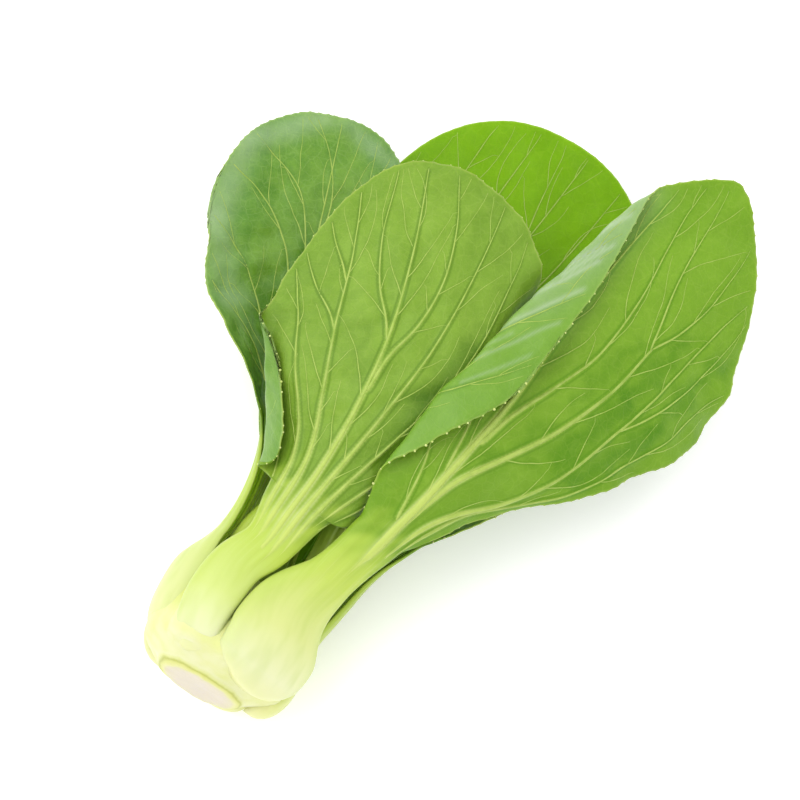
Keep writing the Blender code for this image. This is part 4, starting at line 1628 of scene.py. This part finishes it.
LEFT_LEAF = LeafPlan(
    name="left_leaf",
    around=164,
    inset=0.2,
    lift=1.8,
    tilt=-12,
    path=(
        (-16.2, 39, 26, 176), (-15.2, 55, 24.5, 188), (-17, 70, 22, 215), (-24.5, 95, 19, 248),
        (-33.5, 125, 17, 260), (-47, 164, 11, 262),
    ),
    stalk=74,
    minus=(27, 0.6),
    plus=(31.5, 0.58),
    flare=1,
    half_widths=(8, 11.8, 8.5, 9.5),
    minus_widths=(5, 9, 8, 9.5),
    stalk_wall=(1.8, 5.6, 4.6, 3.8),
    bend_radius=(14.5, 17, 12, 20),
    seed=33,
    quilt=1.3,
    relief=0.4,
    columns=120,
    stalk_rows=60,
    blade_rows=190,
    tooth_pitch=2.6,
    bead=0.75,
    veins=(
        Vein(((0, 50), (0, 80), (-0.5, 120), (-2, 168)), 1.2, 0.2),
        Vein(((2, 60), (4, 82), (10, 105), (18, 119), (28, 129)), 0.9, 0.2),
        Vein(((0.6, 84), (3, 108), (8, 129), (17, 142), (28, 149)), 0.8, 0.2),
        Vein(((0.2, 108), (2, 130), (7, 147), (22, 160)), 0.65, 0.18),
        Vein(((-0.8, 128), (-3, 146), (0, 160), (5, 170)), 0.5, 0.16),
        Vein(((5, 84), (13, 98), (23, 108), (30, 114)), 0.6, 0.16),
        Vein(((-2, 62), (-5, 86), (-12, 108), (-20, 128), (-23, 146)), 0.9, 0.2),
        Vein(((-0.6, 98), (-5, 120), (-12, 142), (-13, 158)), 0.65, 0.18),
        Vein(((-4, 74), (-11, 92), (-20, 108), (-25, 122)), 0.6, 0.16),
    ),
    # Painted highlights: grey-white sheen along the left and top margins
    creases_and_painted_sheen=(
        Band((20, 108), (31, 128), 5, 0.6), Band((29, 132), (26, 152), 5, 0.7),
        Band((24, 158), (4, 171), 4, 0.75), Band((-4, 171), (-18, 160), 3.5, 0.5),
    ),
    patches_and_painted_shade=(Band((4, 78), (8, 110), 7, 0.6), Band((-8, 90), (-6, 130), 8, 0.5)),
)
FAR_LEAF = LeafPlan(
    name="far_leaf",
    around=280,
    lift=-5.5,
    path=(
        (7.8, 40, 1, 276), (9, 62, 1.8, 273), (10, 90, 2.4, 270), (11.5, 120, 2.9, 270),
        (14, 155, 3, 270), (18, 191.5, 3.4, 270),
    ),
    stalk=82,
    minus=(42, 0.6),
    plus=(42, 0.6),
    half_widths=(12.5, 13.5, 8, 9.5),
    minus_widths=(8.5, 10, 8, 9.5),
    bend_radius=(13.5, 13, 12, 20),
    blade_bend=-400,
    wave=(0.6, 34, 0),
    seed=44,
    quilt=0.6,
    relief=0.4,
    columns=120,
    stalk_rows=40,
    blade_rows=210,
    ruffle=0.4,
    tooth_height=0.12,
    bead=0.5,
    veins=(
        Vein(((0, 60), (0, 110), (-2, 150), (-4, 172), (-5, 196)), 1.3, 0.2),
        Vein(((0.2, 112), (4, 140), (10, 166), (10.5, 195)), 0.8, 0.2),
        Vein(((1.5, 74), (9, 112), (18, 144), (22.5, 172), (23, 188)), 0.9, 0.2),
        Vein(((3, 70), (16, 104), (30, 130), (36, 150), (37, 166)), 0.8, 0.18),
        Vein(((-0.8, 112), (-7, 136), (-14, 158), (-17, 179), (-18, 192)), 0.8, 0.2),
        Vein(((-1.5, 74), (-13, 114), (-25, 140), (-30, 162), (-31, 182)), 0.9, 0.2),
        Vein(((-3, 70), (-17, 104), (-31, 126), (-38, 150)), 0.8, 0.18),
        Vein(((-3.6, 166), (-1, 178), (1.5, 194)), 0.4, 0.15),
    ),
)
UNDER_LEFT_LEAF = LeafPlan(
    name="under_left_leaf",
    around=217,
    inset=-3,
    lift=-3.3,
    tilt=-3,
    path=(
        (-13, 40, 8, 230), (-11.5, 60, 8.5, 248), (-15.5, 85, 10, 262), (-22, 110, 10, 268),
        (-29, 140, 8, 270),
    ),
    stalk=78,
    minus=(22, 0.6),
    plus=(23, 0.6),
    half_widths=(11, 13.5, 7.5, 9),
    bend_radius=(13.5, 14, 12, 20),
    seed=55,
    columns=80,
    stalk_rows=60,
)
UNDER_RIGHT_LEAF = LeafPlan(
    name="under_right_leaf",
    around=330,
    lift=-3.5,
    tilt=4,
    root_round=6,
    path=(
        (25.5, 40, 17, 335), (28.5, 56, 16, 316), (33, 75, 14.5, 290), (39, 105, 13.5, 274),
        (45, 145, 11, 270),
    ),
    stalk=70,
    minus=(24, 0.6),
    plus=(25, 0.6),
    half_widths=(7.5, 10.2, 8.5, 9.5),
    minus_widths=(11, 14.5, 8.5, 9.5),
    bend_radius=(13.5, 14.5, 12, 20),
    seed=66,
    columns=80,
    stalk_rows=60,
    patches_and_painted_shade=(Band((5.7, 3.4), (5.8, 4.5), 0.3, 0.9), Band((5.4, 5.1), (6.1, 5.5), 0.25, 0.7)),
)
HEART_LEAF = LeafPlan(
    name="heart_leaf_1",
    around=30,
    inset=7.5,
    lift=13,
    path=((15, 55, 30, 45), (17, 70, 30, 60), (20, 90, 30, 75), (24, 118, 27, 80)),
    stalk=50,
    minus=(17, 0.6),
    plus=(17, 0.6),
    half_widths=(3.5, 7, 5.5, 6.5),
    stalk_wall=(1.8, 3.2, 2.8, 2.4),
    bend_radius=(8, 10, 10, 16),
    seed=77,
    columns=56,
)
HEART_LEAVES = (
    HEART_LEAF,
    replace(
        HEART_LEAF,
        name="heart_leaf_2",
        around=131,
        inset=7.8,
        path=((-4, 55, 36, 125), (-8, 70, 37, 115), (-10, 90, 38, 105), (-13, 116, 35, 98)),
        seed=88,
    ),
    replace(
        HEART_LEAF,
        name="heart_leaf_3",
        around=265,
        path=((0, 55, 14, 268), (2, 70, 16, 268), (3, 90, 18, 270), (3, 120, 18, 270)),
        stalk=52,
        seed=99,
    ),
)


@dataclass
class Head:
    """The whole head: the stem and every leaf."""

    def build(self) -> None:
        """Builds each piece and reports it."""
        CutStem().build()
        LOG.info("cut stem")
        dressed = (
            (TOP_LEAF, TOP_UNDER, TOP_UPPER),
            (RIGHT_LEAF, RIGHT_UNDER, RIGHT_UPPER),
            (LEFT_LEAF, LEFT_UNDER, LEFT_UPPER),
            (FAR_LEAF, PLAIN_UNDER, FAR_UPPER),
            (UNDER_LEFT_LEAF, TOP_UNDER, PLAIN_UPPER),
            (UNDER_RIGHT_LEAF, PLAIN_UNDER, PLAIN_UPPER),
            *((plan, PLAIN_UNDER, PLAIN_UPPER) for plan in HEART_LEAVES),
        )
        for plan, under, upper in dressed:
            faces = {Face.UNDERSIDE: under, Face.UPPERSIDE: upper}
            veins = FAR_VEINS if plan is FAR_LEAF else VEINS
            made = LeafPiece(plan, faces, veins, TOOTH_TIP).build()
            LOG.info("%s: %s faces", plan.name, [len(piece.data.polygons) for piece in made])


@dataclass
class Studio:
    """The floor, the light and the camera. The anchor is the pixel that shows the middle of the cut end."""

    azimuth: float = 28.0
    elevation: float = 75.5
    distance: float = 760.0
    pixels_per_mm: float = 3.7
    anchor: tuple[float, float] = (200.5, 683.0)
    picture: int = 800
    sensor: float = 36.0
    sky: float = 1.25
    floor_size: float = 12.0

    def axes(self) -> tuple[Array, Array, Array]:
        """Right, up and towards the camera.

        Returns:
            Three vectors of length 1.
        """
        az, el = math.radians(self.azimuth), math.radians(self.elevation)
        right = np.array([math.cos(az), math.sin(az), 0.0])
        up = np.array([-math.sin(az) * math.sin(el), math.cos(az) * math.sin(el), math.cos(el)])
        return right, up, np.cross(right, up)

    def aim(self) -> Array:
        """The point that the middle of the picture shows, in metres.

        Returns:
            The point.
        """
        right, up, _ = self.axes()
        across = (self.picture / 2 - self.anchor[0]) / self.pixels_per_mm
        above = (self.anchor[1] - self.picture / 2) / self.pixels_per_mm
        return to_frame(np.array([0.0, 0.0, AXIS_HEIGHT]) + right * across + up * above)

    def add_camera(self) -> None:
        """The camera, high above the head and a little to its right."""
        right, up, back = self.axes()
        data = bpy.data.cameras.new("camera")
        data.sensor_width = self.sensor
        data.lens = self.sensor * self.distance * self.pixels_per_mm / self.picture
        data.clip_start, data.clip_end = 0.01, 20.0
        camera = placed("camera", data)
        turn = Matrix([[right[i], up[i], back[i]] for i in range(3)]).to_4x4()
        camera.matrix_world = Matrix.Translation((self.aim() + back * self.distance * MM).tolist()) @ turn
        bpy.context.scene.camera = camera

    def add_light(self, name: str, way: tuple[float, float, float], distance: float, size: float, watts: float) -> None:
        """A soft square light, its place given along the camera's right, up and back.

        Args:
            name: the light's name.
            way: its direction along the camera's right, up and back.
            distance: how far away it stands, in metres.
            size: the length of its sides, in metres.
            watts: its power.
        """
        right, up, back = self.axes()
        direction = right * way[0] + up * way[1] + back * way[2]
        direction /= np.linalg.norm(direction)
        data = bpy.data.lights.new(name, "AREA")
        data.shape, data.size, data.energy = "SQUARE", size, watts
        light = placed(name, data)
        light.location = (self.aim() + direction * distance).tolist()
        light.rotation_mode = "QUATERNION"
        light.rotation_quaternion = Vector(direction.tolist()).to_track_quat("Z", "Y")

    def add_floor(self) -> None:
        """A wide plain floor, nearly white."""
        deselect()
        bpy.ops.mesh.primitive_plane_add(size=self.floor_size, location=(0, 0, 0))
        floor = bpy.context.active_object
        floor.name = floor.data.name = "floor"
        g = Graph("floor_white")
        shade = g.mix(g.noise(g.place(), 3.0, 2.0), (0.97, 0.97, 0.97), (0.985, 0.985, 0.985))
        glow = {"Emission_Color": (1.0, 1.0, 1.0, 1.0), "Emission_Strength": 0.15}
        floor.data.materials.append(g.dress(Base_Color=shade, Roughness=0.9, Specular_IOR_Level=0.1, **glow))

    def build(self) -> None:
        """Sets the whole studio."""
        scene = bpy.context.scene
        world = bpy.data.worlds.new("studio")
        world.use_nodes = True
        background = world.node_tree.nodes["Background"]
        background.inputs["Color"].default_value = (1.0, 1.0, 1.0, 1)
        background.inputs["Strength"].default_value = self.sky
        scene.world = world
        scene.view_settings.view_transform = "Standard"
        scene.view_settings.look = "None"
        self.add_floor()
        self.add_light("key", (-0.45, 0.55, 0.8), 1.2, 1.0, 6.0)
        self.add_camera()


def main() -> None:
    """Builds the head and its studio."""
    logging.basicConfig(level=logging.INFO, format="%(message)s")
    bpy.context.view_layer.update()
    Head().build()
    Studio().build()


if __name__ == "__main__":
    main()
